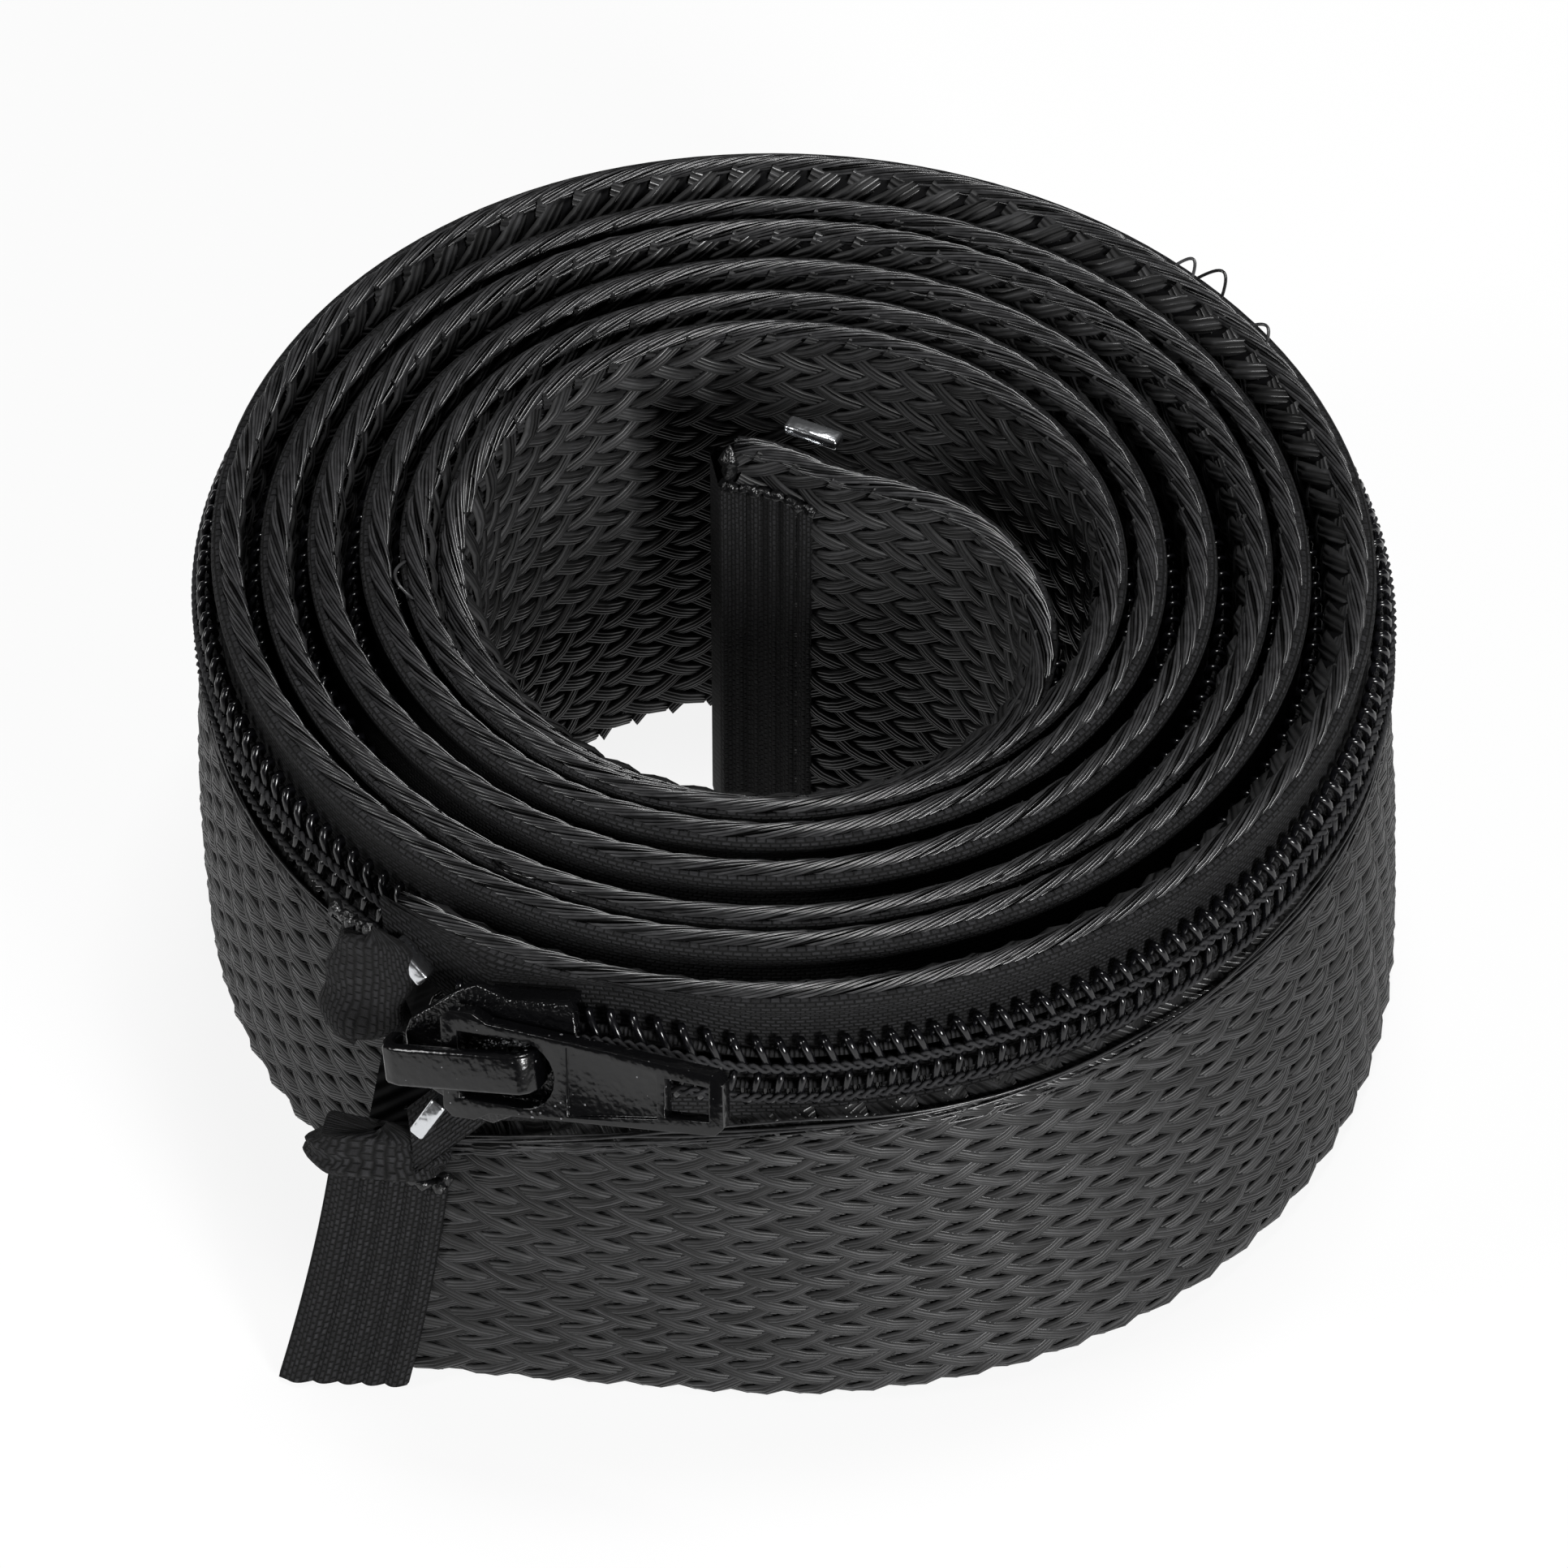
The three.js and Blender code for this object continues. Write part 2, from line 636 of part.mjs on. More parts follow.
function pullTab() {
  const reach = pullLength - pullBar / 2;
  const halfWide = pullWidth / 2;
  const halfTip = pullTipWidth / 2;
  const upper = [
    [-pullBar / 2, halfWide - pullCorner], [-pullBar / 2 + pullCorner, halfWide], [neckStart, halfWide],
    [neckEnd, halfWide - pullCorner], [reach - pullCorner, halfTip], [reach, halfTip - pullCorner],
  ];
  const outline = polygon([...upper, ...upper.map(([x, y]) => [x, -y]).reverse()]);
  const slot = new THREE.Path();
  const slotStart = pullBar / 2;
  const slotHalf = pullSlotWidth / 2;
  const slotRound = slotStart + pullSlot - slotHalf;
  slot.moveTo(slotStart, -slotHalf);
  slot.lineTo(slotRound, -slotHalf);
  slot.absarc(slotRound, 0, slotHalf, -Math.PI / 2, Math.PI / 2, false);
  slot.lineTo(slotStart, slotHalf);
  slot.closePath();
  const windowEnd = reach - windowEdge;
  const windowStart = windowEnd - windowLength;
  const half = windowWidth / 2;
  const window = new THREE.Path([
    new THREE.Vector2(windowStart, -half), new THREE.Vector2(windowEnd, -half + windowTaper),
    new THREE.Vector2(windowEnd, half - windowTaper), new THREE.Vector2(windowStart, half),
  ]);
  outline.holes.push(slot, window);
  const blank = toSolid(plate(outline, -pullThickness / 2, pullThickness / 2));
  const panelEnd = windowStart - panelGap;
  const panelStart = panelEnd - panelLength;
  const recess = polygon([
    [panelStart, -halfWide + panelBorder], [panelEnd, -halfTip + panelGap],
    [panelEnd, halfTip - panelGap], [panelStart, halfWide - panelBorder],
  ]);
  const cutter = plate(recess, pullThickness / 2 - panelDepth, pullThickness);
  return toGeometry(blank.subtract(toSolid(cutter)));
}

// Metal stops: a clamp over the edge of each tape beyond the slider, and one at the far end
function topStop(side) {
  const geometry = block(-clampLength / 2, clampLength / 2, -clampWidth / 2, clampWidth / 2,
    tapeFace + clearance, roof);
  const place = new THREE.Matrix4().makeTranslation(clearance - halfLength, side * clampPlace, 0);
  const turn = new THREE.Matrix4().makeRotationZ(side * -clampTurn * degree);
  return geometry.applyMatrix4(turn).applyMatrix4(place);
}

function bottomStop() {
  const skin = new Skin();
  const half = stopLength / 2 / (selvageRadius(innerEndAngle) * degree);
  const middle = chainEnd + clearance / (selvageRadius(chainEnd) * degree) + half;
  const across = chainHalfWidth + stopSpare;
  const front = stopThickness / 2;
  const back = tapeFace + clearance;
  const ring = [[-across, back], [across, back], [across, front - stopBevel],
    [across - stopBevel, front], [-across + stopBevel, front], [-across, front - stopBevel]];
  const angles = [middle - half, middle, middle + half];
  const lines = ring.map(([y, out]) => skin.line(angles, (a) => chainPoint(a, y, out)));
  lines.forEach((line, k) => skin.strip(line, lines[(k + 1) % lines.length]));
  const flat = ring.map(([y, out]) => new THREE.Vector2(y, out));
  skin.cap(lines.map((line) => line[0]), flat, false);
  skin.cap(lines.map((line) => line.at(-1)), flat, true);
  return skin.geometry();
}

// Finishes
const finish = (color, roughness, metalness) => ({ color, roughness, metalness });
const braidFinish = finish(0x17171a, 0.42, 0);
const tapeFinish = finish(0x131315, 0.85, 0);
const coilFinish = finish(0x0c0c0e, 0.25, 0);
const bandFinish = finish(0x121214, 0.9, 0);
const paintFinish = finish(0x0a0a0b, 0.22, 0.3);
const steelFinish = finish(0xc9ccd0, 0.25, 1);

function part(name, geometry, look) {
  const mesh = new THREE.Mesh(geometry, new THREE.MeshStandardMaterial(look));
  mesh.name = name;
  return mesh;
}

const sleeve = new THREE.Group();
sleeve.add(part('braid_sleeve', braidSleeve(), braidFinish));
sleeve.add(part('zipper_tape_upper', upperTape(), tapeFinish));
sleeve.add(part('zipper_tape_lower', lowerTape(), tapeFinish));
sleeve.add(part('coil_upper', coil(1), coilFinish));
sleeve.add(part('coil_lower', coil(-1), coilFinish));
const outerBandTop = seamAt(outerEndAngle) + bandLift;
const outerBand = endBand(outerEndAngle, 1, outerBandTop, outerBandTop);
const innerBand = endBand(innerEndAngle, -1, seamHeight - tapeOverlap, innerBandTop);
sleeve.add(part('outer_end_band', outerBand, bandFinish));
sleeve.add(part('inner_end_band', innerBand, bandFinish));
sleeve.add(part('bottom_stop', bottomStop(), steelFinish));

// Everything that is placed by the slider's seat on the chain
const seat = new THREE.Group();
seat.applyMatrix4(frame);
seat.add(part('slider_body', sliderBody(), paintFinish));
seat.add(part('slider_crown', sliderCrown(), paintFinish));
seat.add(part('lock_pawl', lockPawl(), steelFinish));
seat.add(part('top_stop_upper', topStop(1), steelFinish));
seat.add(part('top_stop_lower', topStop(-1), steelFinish));

const pull = part('pull_tab', pullTab(), paintFinish);
pull.position.set(pivotPlace, 0, pivotLevel);
pull.rotation.z = pullYaw * degree;
seat.add(pull);
sleeve.add(seat);

// The origin is on the floor, under the middle of the whole object
const extent = new THREE.Box3().setFromObject(sleeve, true);
const middle = extent.getCenter(new THREE.Vector3());
sleeve.position.set(-middle.x, -middle.y, -extent.min.z);

export default sleeve;
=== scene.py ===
# %% [markdown]
# A zippered cable sleeve, rolled up. It is a flat tube of black braided monofilament that a coil
# zipper closes along its upper edge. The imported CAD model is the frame: it gives the places, and
# the pieces made here stand on them.

# %% Frame
import json
import math

import bpy
import numpy as np
from mathutils import Matrix, Vector


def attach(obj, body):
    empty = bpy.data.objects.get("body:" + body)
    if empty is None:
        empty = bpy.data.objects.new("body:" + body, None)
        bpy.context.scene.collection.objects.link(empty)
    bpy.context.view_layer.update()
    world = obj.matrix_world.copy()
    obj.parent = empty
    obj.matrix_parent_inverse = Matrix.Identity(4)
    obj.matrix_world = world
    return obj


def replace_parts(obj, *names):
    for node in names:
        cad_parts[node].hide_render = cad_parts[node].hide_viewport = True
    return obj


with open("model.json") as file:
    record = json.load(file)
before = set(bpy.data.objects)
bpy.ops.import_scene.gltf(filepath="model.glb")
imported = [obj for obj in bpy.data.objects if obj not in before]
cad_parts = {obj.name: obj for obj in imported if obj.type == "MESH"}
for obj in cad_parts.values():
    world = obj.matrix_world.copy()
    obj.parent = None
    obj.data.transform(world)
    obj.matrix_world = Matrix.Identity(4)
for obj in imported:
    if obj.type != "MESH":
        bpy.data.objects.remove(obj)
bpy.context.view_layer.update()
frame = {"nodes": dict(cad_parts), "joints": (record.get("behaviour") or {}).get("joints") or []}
nodes = frame["nodes"]
joints = {joint["name"]: joint for joint in frame["joints"]}
roll_axis = np.array([*joints["slider_travel"]["pos_m"][:2], 0.0])
MM = 0.001

# %% [markdown]
# The camera comes first. The roll is seen from the front and well from above, through a long
# lens, so that its near and far edges are almost the same size.

# %% Camera
CAMERA_ELEVATION = math.radians(46.31)
CAMERA_DISTANCE = 1.0
CAMERA_LENS = 206.6
CAMERA_AIM = Vector((1.303, -6.169, 30)) * MM + Vector(roll_axis)

camera_data = bpy.data.cameras.new("camera")
camera_data.lens = CAMERA_LENS
camera_data.sensor_width = 36
camera = bpy.data.objects.new("camera", camera_data)
bpy.context.scene.collection.objects.link(camera)
back = Vector((0, -math.cos(CAMERA_ELEVATION), math.sin(CAMERA_ELEVATION)))
camera.location = CAMERA_AIM + back * CAMERA_DISTANCE
camera.rotation_euler = (math.pi / 2 - CAMERA_ELEVATION, 0, 0)
bpy.context.scene.camera = camera
print("camera at", [round(c, 3) for c in camera.location])

# %% [markdown]
# The shape of the roll is that of the CAD: these are its driving sizes, in millimetres and
# degrees. Angles count inward from the outer end, seen from above. Only the flare of the outer
# end is 2 mm less here.

# %% Sizes of the roll
SLEEVE_HEIGHT = 60
OUTER_RADIUS = 64
TURN_GAPS = [7.2, 4.7, 5.5, 5.5, 4.7, 4.7]
OUTER_END = -128
INNER_END = 105 + 360 * len(TURN_GAPS)
TURN_ONE = OUTER_END + 360
STEP_START, STEP_END = 105, 228
CURL_START, CURL_TURN, CURL_DEPTH, CURL_SWING = -40, 64, 17.1, 4
WALL = 0.9
CHANNEL_GAP = 1.95
FOLD_HEIGHT = 3
NECK_HEIGHT, NECK_SETBACK = 57, 2.4
SEAM_HEIGHT, SEAM_DROOP = 41.5, 15.5
WALL_BULGE = 0.7
SKIRT, SKIRT_POWER, SKIRT_END = 2.8, 2.2, 60
SKIRT_WAVE, WAVE_ANGLE, WAVE_REACH = 1.9, -50, 28
END_FLARE, FLARE_REACH, FLARE_POWER = 11.5, 31, 1.7
END_SPRING, SPRING_REACH, SPRING_HEIGHT, SPRING_FADE = 2.5, 11, 40, 15
SELVAGE_LEANS = [(720, 230, 1.1), (1680, 170, 1.2), (2040, 150, 2.1)]
DIP_ANGLE, DIP_REACH, DIP_DEPTH = 2060, 120, 4
OUTER_LAYER = WALL / 2 + CHANNEL_GAP + WALL

# %% Sizes of the zipper
CHAIN_HEIGHT = 50
CHAIN_HALF = 4.9
COIL_THICKNESS = 2.1
COIL_PITCH = 2.27
TAPE_THICKNESS = 0.55
CLEARANCE = 0.35
TAPE_SLACK = 0.15
TAPE_TOP = 59.3
TAPE_OVERLAP = 3.4
HEM_RISE = 3.2
SLIDER_ANGLE, SLIDER_RADIUS, SLIDER_LEAN, SLIDER_TILT = -114, 69, 20, 15
SHOULDER_PLACE, SHOULDER_HALF, FLANGE_WALL = -1.8, 8, 1.25
MOUTH_ANGLE, MOUTH_SLOPE = 4.2, 0.75
BLEND_START, BLEND_END = SLIDER_ANGLE + 9, SLIDER_ANGLE + 24
TUCK_ANGLE = 8
TUCK_START = BLEND_END + 2 - TUCK_ANGLE
TAPE_START = SLIDER_ANGLE - 11
CHAIN_END = INNER_END - 26
CHAIN_OUT = WALL / 2 + CLEARANCE + TAPE_SLACK + TAPE_THICKNESS + CLEARANCE + COIL_THICKNESS / 2
TAPE_FACE = -COIL_THICKNESS / 2 - CLEARANCE

# %% [markdown]
# Every soft piece follows the same wall. wall_point gives a point of it from an angle, a distance
# out from the selvage line and a height. The functions work on whole arrays of angles at once,
# because a braid has tens of thousands of points.

# %% The rolled wall


def ease(x):
    x = np.clip(x, 0, 1)
    return x * x * (3 - 2 * x)


def mix(a, b, share):
    return a + (b - a) * share


def selvage_radius(angle):
    radius = OUTER_RADIUS - sum(
        gap * ease((angle - STEP_START - 360 * turn) / (STEP_END - STEP_START))
        for turn, gap in enumerate(TURN_GAPS))
    last = angle - 360 * len(TURN_GAPS)
    radius = radius - CURL_DEPTH * ease((last - CURL_START) / (CURL_TURN - CURL_START))
    return radius + CURL_SWING * ease((last - CURL_TURN) / (INNER_END % 360 - CURL_TURN + 10))


def bell(angle, middle, reach):
    return ease(2 - 2 * np.abs(angle - middle) / reach)


def lean(angle, z):
    low = np.clip(1 - z / SLEEVE_HEIGHT, 0, 1) ** SKIRT_POWER
    fade = 1 - ease((angle - SKIRT_END) / (TURN_ONE - SKIRT_END))
    wave = np.exp(-(((angle - WAVE_ANGLE) / WAVE_REACH) ** 2))
    end = np.clip((OUTER_END + FLARE_REACH - angle) / FLARE_REACH, 0, 1) ** FLARE_POWER
    spring = np.clip((OUTER_END + SPRING_REACH - angle) / SPRING_REACH, 0, 1) ** 2
    below = 1 - ease((z - SPRING_HEIGHT) / SPRING_FADE)
    top = ease((z - NECK_HEIGHT) / (SLEEVE_HEIGHT - NECK_HEIGHT))
    rope = sum(out * bell(angle, at, reach) for at, reach, out in SELVAGE_LEANS)
    base = SKIRT * fade + SKIRT_WAVE * wave + END_FLARE * end
    return rope * top + low * base + END_SPRING * spring * below


def centre(angle):
    turn = np.radians(angle)
    radius = selvage_radius(angle)
    return np.stack([radius * np.cos(turn), radius * np.sin(turn)], -1)


def wall_point(angle, out, z):
    angle, out, z = np.broadcast_arrays(*(np.asarray(v, float) for v in (angle, out, z)))
    here = centre(angle)
    along = centre(angle + 0.5) - centre(angle - 0.5)
    along = along / np.linalg.norm(along, axis=-1, keepdims=True)
    offset = out + lean(angle, z)
    dip = DIP_DEPTH * bell(angle, DIP_ANGLE, DIP_REACH) * (z / SLEEVE_HEIGHT) ** 4
    return np.stack([here[..., 0] + along[..., 1] * offset,
                     here[..., 1] - along[..., 0] * offset, z - dip], -1)


# The length of sleeve from the outer end to an angle, and the angle at a length
_angles = np.arange(OUTER_END - 20, INNER_END + 20, 0.5)
_steps = np.linalg.norm(np.diff(centre(_angles), axis=0), axis=1)
_lengths = np.concatenate([[0], np.cumsum(_steps)])
_lengths = _lengths - np.interp(OUTER_END, _angles, _lengths)


def angle_at(length):
    return np.interp(length, _lengths, _angles)


def length_at(angle):
    return np.interp(angle, _angles, _lengths)


def seam_at(angle):
    return SEAM_HEIGHT - SEAM_DROOP * np.clip((SLIDER_ANGLE + 28 - angle) / 43, 0, 1) ** 1.5


def neck_shift(angle):
    return -NECK_SETBACK * (1 - ease((angle - STEP_START - 10) / 60))


print("sleeve length in mm:", round(float(length_at(INNER_END))))

# %% [markdown]
# The slider sits askew on the chain. slider_frame is its own frame: X along the chain to the
# closed side, Y across it and up, Z out. Near it the chain keeps the slider's frame, and then it
# turns into the frame of the wall.

# %% The slider's seat


def slider_frame():
    turn = Matrix.Rotation(math.radians(SLIDER_ANGLE), 4, "Z")
    seat = Matrix.Translation((SLIDER_RADIUS, 0, CHAIN_HEIGHT))
    axes = Matrix(((0, 0, 1, 0), (1, 0, 0, 0), (0, 1, 0, 0), (0, 0, 0, 1)))
    back = Matrix.Rotation(-math.radians(SLIDER_LEAN), 4, "X")
    tilt = Matrix.Rotation(math.radians(SLIDER_TILT), 4, "Z")
    return turn @ seat @ axes @ back @ tilt


SEAT = np.array(slider_frame())


def seat_point(x, y, z):
    x, y, z = np.broadcast_arrays(*(np.asarray(v, float) for v in (x, y, z)))
    return np.stack([x, y, z], -1) @ SEAT[:3, :3].T + SEAT[:3, 3]


def chain_point(angle, across, out):
    angle, across, out = np.broadcast_arrays(*(np.asarray(v, float) for v in (angle, across, out)))
    along = np.radians(angle - SLIDER_ANGLE) * SLIDER_RADIUS
    spread = np.maximum(0, SHOULDER_PLACE - along) * MOUTH_SLOPE
    held = seat_point(along, across + np.sign(across) * spread, out)
    free = wall_point(angle, CHAIN_OUT + out, CHAIN_HEIGHT + across)
    share = ease((angle - BLEND_START) / (BLEND_END - BLEND_START))[..., None]
    return held + (free - held) * share


print("slider seat in mm:", [round(c, 1) for c in SEAT[:3, 3]])

# %% [markdown]
# Materials are made of nodes. One function adds a node with its settings and its links, and one
# turns a colour as a painter writes it (sRGB hex) into the linear colour that the shader wants.

# %% Material helpers


def hex_colour(code):
    parts = [int(code[i:i + 2], 16) / 255 for i in (0, 2, 4)]
    return (*(c / 12.92 if c < 0.04045 else ((c + 0.055) / 1.055) ** 2.4 for c in parts), 1)


def add(tree, kind, inputs=None, **settings):
    node = tree.nodes.new(kind)
    for key, value in settings.items():
        setattr(node, key, value)
    for key, value in (inputs or {}).items():
        if isinstance(value, bpy.types.NodeSocket):
            tree.links.new(value, node.inputs[key])
        else:
            node.inputs[key].default_value = value
    return node


def new_material(name, colour, roughness, **sockets):
    material = bpy.data.materials.new(name)
    material.use_nodes = True
    tree = material.node_tree
    shader = tree.nodes["Principled BSDF"]
    shader.inputs["Base Color"].default_value = hex_colour(colour)
    shader.inputs["Roughness"].default_value = roughness
    for key, value in sockets.items():
        shader.inputs[key.replace("_", " ")].default_value = value
    return material, tree, shader


def colour_range(tree, factor, low, high):
    ramp = add(tree, "ShaderNodeValToRGB", {"Fac": factor})
    ramp.color_ramp.elements[0].color = hex_colour(low)
    ramp.color_ramp.elements[1].color = hex_colour(high)
    return ramp.outputs["Color"]


def bump(tree, shader, height, depth_mm):
    node = add(tree, "ShaderNodeBump", {"Height": height, "Strength": 1.0, "Distance": depth_mm * MM})
    tree.links.new(node.outputs["Normal"], shader.inputs["Normal"])


# %% [markdown]
# The braid is polyester monofilament, drawn and dyed black: smooth round wires a third of a
# millimetre thick. Each has its own depth of dye, which wanders a little along it. The grooves
# between the wires are dull and painted dark as shade, and the crests are painted lighter. The
# zipper's coils are thicker nylon wire with a high gloss.

# %% Monofilament and coil wire


def monofilament(name, colour, roughness, gloss):
    """The UV map counts filaments across, and runs in millimetres along them."""
    material, tree, shader = new_material(name, colour, roughness, Specular_IOR_Level=gloss)
    place = add(tree, "ShaderNodeUVMap", uv_map="mm").outputs["UV"]
    across = add(tree, "ShaderNodeSeparateXYZ", {0: place}).outputs["X"]
    ridge = add(tree, "ShaderNodeMath", {0: across, 1: 0.5}, operation="PINGPONG").outputs["Value"]
    which = add(tree, "ShaderNodeMath", {0: across}, operation="FLOOR").outputs["Value"]
    dye = add(tree, "ShaderNodeTexWhiteNoise", {"W": which}, noise_dimensions="1D").outputs["Value"]
    wear = add(tree, "ShaderNodeTexNoise", {"Vector": place, "Scale": 0.6, "Detail": 2.0}).outputs["Fac"]
    tone = add(tree, "ShaderNodeMath", {0: dye, 1: wear}, operation="MULTIPLY").outputs["Value"]
    # Painted shade: the colour goes near black in the grooves between filaments and is lightest on their
    # crests.
    painted_groove_shade = add(tree, "ShaderNodeMath", {0: ridge, 1: 4.0}, operation="MULTIPLY").outputs["Value"]
    light = add(tree, "ShaderNodeMath", {0: painted_groove_shade, 1: tone}, operation="MULTIPLY").outputs["Value"]
    tint = colour_range(tree, light, "010101", colour)
    tree.links.new(tint, shader.inputs["Base Color"])
    rough = add(tree, "ShaderNodeMapRange", {
        "Value": ridge, "From Max": 0.5, "To Min": 0.85, "To Max": roughness})
    tree.links.new(rough.outputs["Result"], shader.inputs["Roughness"])
    return material


BRAID = monofilament("polyester monofilament, drawn", "3a3a3b", 0.22, 0.42)


def polished_coil():
    material, tree, shader = new_material("nylon coil monofilament, polished", "08080a", 0.16)
    place = add(tree, "ShaderNodeTexCoord").outputs["Object"]
    noise = add(tree, "ShaderNodeTexNoise", {"Vector": place, "Scale": 500.0, "Detail": 3.0})
    rough = add(tree, "ShaderNodeMapRange", {
        "Value": noise.outputs["Fac"], "To Min": 0.08, "To Max": 0.34})
    tree.links.new(rough.outputs["Result"], shader.inputs["Roughness"])
    tint = colour_range(tree, noise.outputs["Fac"], "040405", "101013")
    tree.links.new(tint, shader.inputs["Base Color"])
    return material


COIL = polished_coil()

# %% [markdown]
# The inside of the braid is seen only through its gaps, and is painted near black as shade. The
# same weave is drawn there as a bump on the sheet's own UV map, which counts millimetres along and
# across the sleeve.

# %% Braid in shadow


def braid_shadow():
    # The near-black base colour is painted shade.
    material, tree, shader = new_material(
        "polyester braid, inner side, painted shade", "050506", 0.7, Specular_IOR_Level=0.1)
    place = add(tree, "ShaderNodeUVMap", uv_map="mm").outputs["UV"]
    wave = add(tree, "ShaderNodeTexWave", {
        "Vector": place, "Scale": 0.28, "Distortion": 0.0}, wave_type="BANDS",
        bands_direction="DIAGONAL")
    bump(tree, shader, wave.outputs["Fac"], 0.3)
    return material


BRAID_SHADOW = braid_shadow()

# %% [markdown]
# The zipper's tapes are woven polyester, dull, with short bricks of warp yarn in staggered rows.
# A brick pattern on the tape's own UV map, in millimetres, gives the rows. The dark mortar
# between the bricks is painted shade; the bricks' two tones vary at random.

# %% Woven tape


def woven_tape(name, brick, row):
    material, tree, shader = new_material(name, "101012", 0.8, Specular_IOR_Level=0.25)
    place = add(tree, "ShaderNodeUVMap", uv_map="mm").outputs["UV"]
    noise = add(tree, "ShaderNodeTexNoise", {"Vector": place, "Scale": 0.9, "Detail": 2.0})
    shift = add(tree, "ShaderNodeVectorMath", {0: noise.outputs["Color"], 1: (0.35, 0.22, 0)},
                operation="MULTIPLY")
    warped = add(tree, "ShaderNodeVectorMath", {0: place, 1: shift.outputs["Vector"]}, operation="ADD")
    bricks = add(tree, "ShaderNodeTexBrick", {
        "Vector": warped.outputs["Vector"], "Color1": (1, 1, 1, 1), "Color2": (0.4, 0.4, 0.4, 1),
        "Mortar": (0, 0, 0, 1), "Scale": 1.0, "Mortar Size": 0.19, "Mortar Smooth": 1.0,
        "Brick Width": brick, "Row Height": row})
    fibre = add(tree, "ShaderNodeTexNoise", {"Vector": place, "Scale": 14.0, "Detail": 2.0})
    height = add(tree, "ShaderNodeMath", {
        0: fibre.outputs["Fac"], 1: 0.35, 2: bricks.outputs["Color"]}, operation="MULTIPLY_ADD")
    bump(tree, shader, height.outputs["Value"], 0.6)
    # Painted shade: the mortar between the bricks goes near black.
    tint = colour_range(tree, bricks.outputs["Color"], "010101", "2e2e30")
    tree.links.new(tint, shader.inputs["Base Color"])
    return material


TAPE = woven_tape("polyester tape, woven", 1.05, 0.52)
BAND = woven_tape("polyester ribbed band, knitted", 0.8, 0.55)

# %% [markdown]
# Sewing thread is spun polyester: dull and finely rough. Where the zipper was cut with a hot
# knife the fibres have run into a glossy lump.

# %% Thread and melt


def thread():
    material, tree, shader = new_material(
        "polyester sewing thread, twisted", "1c1c1e", 0.7, Specular_IOR_Level=0.3)
    place = add(tree, "ShaderNodeTexCoord").outputs["Object"]
    noise = add(tree, "ShaderNodeTexNoise", {"Vector": place, "Scale": 3000.0, "Detail": 2.0})
    bump(tree, shader, noise.outputs["Fac"], 0.12)
    return material


def melt():
    material, tree, shader = new_material("polyester, melted by a hot knife", "0d0d0e", 0.28)
    place = add(tree, "ShaderNodeTexCoord").outputs["Object"]
    noise = add(tree, "ShaderNodeTexNoise", {"Vector": place, "Scale": 900.0, "Detail": 4.0})
    bump(tree, shader, noise.outputs["Fac"], 0.5)
    return material


THREAD = thread()
MELT = melt()

# %% [markdown]
# The slider and pull are die-cast zinc with a thick black stove enamel. The enamel is glossy and
# has an orange peel of half a millimetre to one. Pale specks, in patches, are painted glints.

# %% Enamel and steel


def enamel(name, peel_mm, depth_mm, roughness):
    material, tree, shader = new_material(name, "050506", roughness, Specular_IOR_Level=0.45)
    place = add(tree, "ShaderNodeTexCoord").outputs["Object"]
    peel = add(tree, "ShaderNodeTexNoise", {
        "Vector": place, "Scale": 1 / (peel_mm * MM), "Detail": 1.5})
    bump(tree, shader, peel.outputs["Fac"], depth_mm)
    # Painted glints: pale specks, in patches, on the black enamel.
    holes = add(tree, "ShaderNodeTexVoronoi", {"Vector": place, "Scale": 1100.0})
    patch = add(tree, "ShaderNodeTexNoise", {"Vector": place, "Scale": 260.0, "Detail": 1.0})
    size = add(tree, "ShaderNodeMapRange", {
        "Value": patch.outputs["Fac"], "From Min": 0.5, "From Max": 0.75, "To Max": 0.22})
    painted_glints = add(tree, "ShaderNodeMath", {
        0: holes.outputs["Distance"], 1: size.outputs["Result"]}, operation="LESS_THAN")
    tint = colour_range(tree, painted_glints.outputs["Value"], "050506", "6a6a6c")
    tree.links.new(tint, shader.inputs["Base Color"])
    return material


def bright_steel():
    material, tree, shader = new_material("bright steel, stamped", "d6d8db", 0.22, Metallic=1.0)
    place = add(tree, "ShaderNodeTexCoord").outputs["Object"]
    dents = add(tree, "ShaderNodeTexNoise", {"Vector": place, "Scale": 600.0, "Detail": 2.0})
    bump(tree, shader, dents.outputs["Fac"], 0.15)
    return material


ENAMEL = enamel("zinc with black stove enamel", 0.55, 0.16, 0.2)
ENAMEL_SMOOTH = enamel("zinc with black stove enamel, smooth", 0.9, 0.08, 0.18)
STEEL = bright_steel()
print("materials:", len(bpy.data.materials))

# %% [markdown]
# A soft piece is worked out as rows of points along the sleeve and then given its faces. place
# moves points from the roll's own frame in millimetres to the frame of the model in metres.

# %% Mesh helpers


def place(points):
    return np.asarray(points, float) * MM + roll_axis


def soft_piece(name, points, faces, material, uv):
    mesh = bpy.data.meshes.new(name)
    mesh.from_pydata(place(points).tolist(), [], faces.tolist())
    layer = mesh.uv_layers.new(name="mm")
    corner = np.zeros(len(mesh.loops), np.int32)
    mesh.loops.foreach_get("vertex_index", corner)
    layer.data.foreach_set("uv", uv[corner].astype(np.float32).ravel())
    mesh.materials.append(material)
    mesh.polygons.foreach_set("use_smooth", [True] * len(mesh.polygons))
    obj = bpy.data.objects.new(name, mesh)
    bpy.context.scene.collection.objects.link(obj)
    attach(obj, "sleeve")
    print(name, len(mesh.polygons), "faces")
    return obj


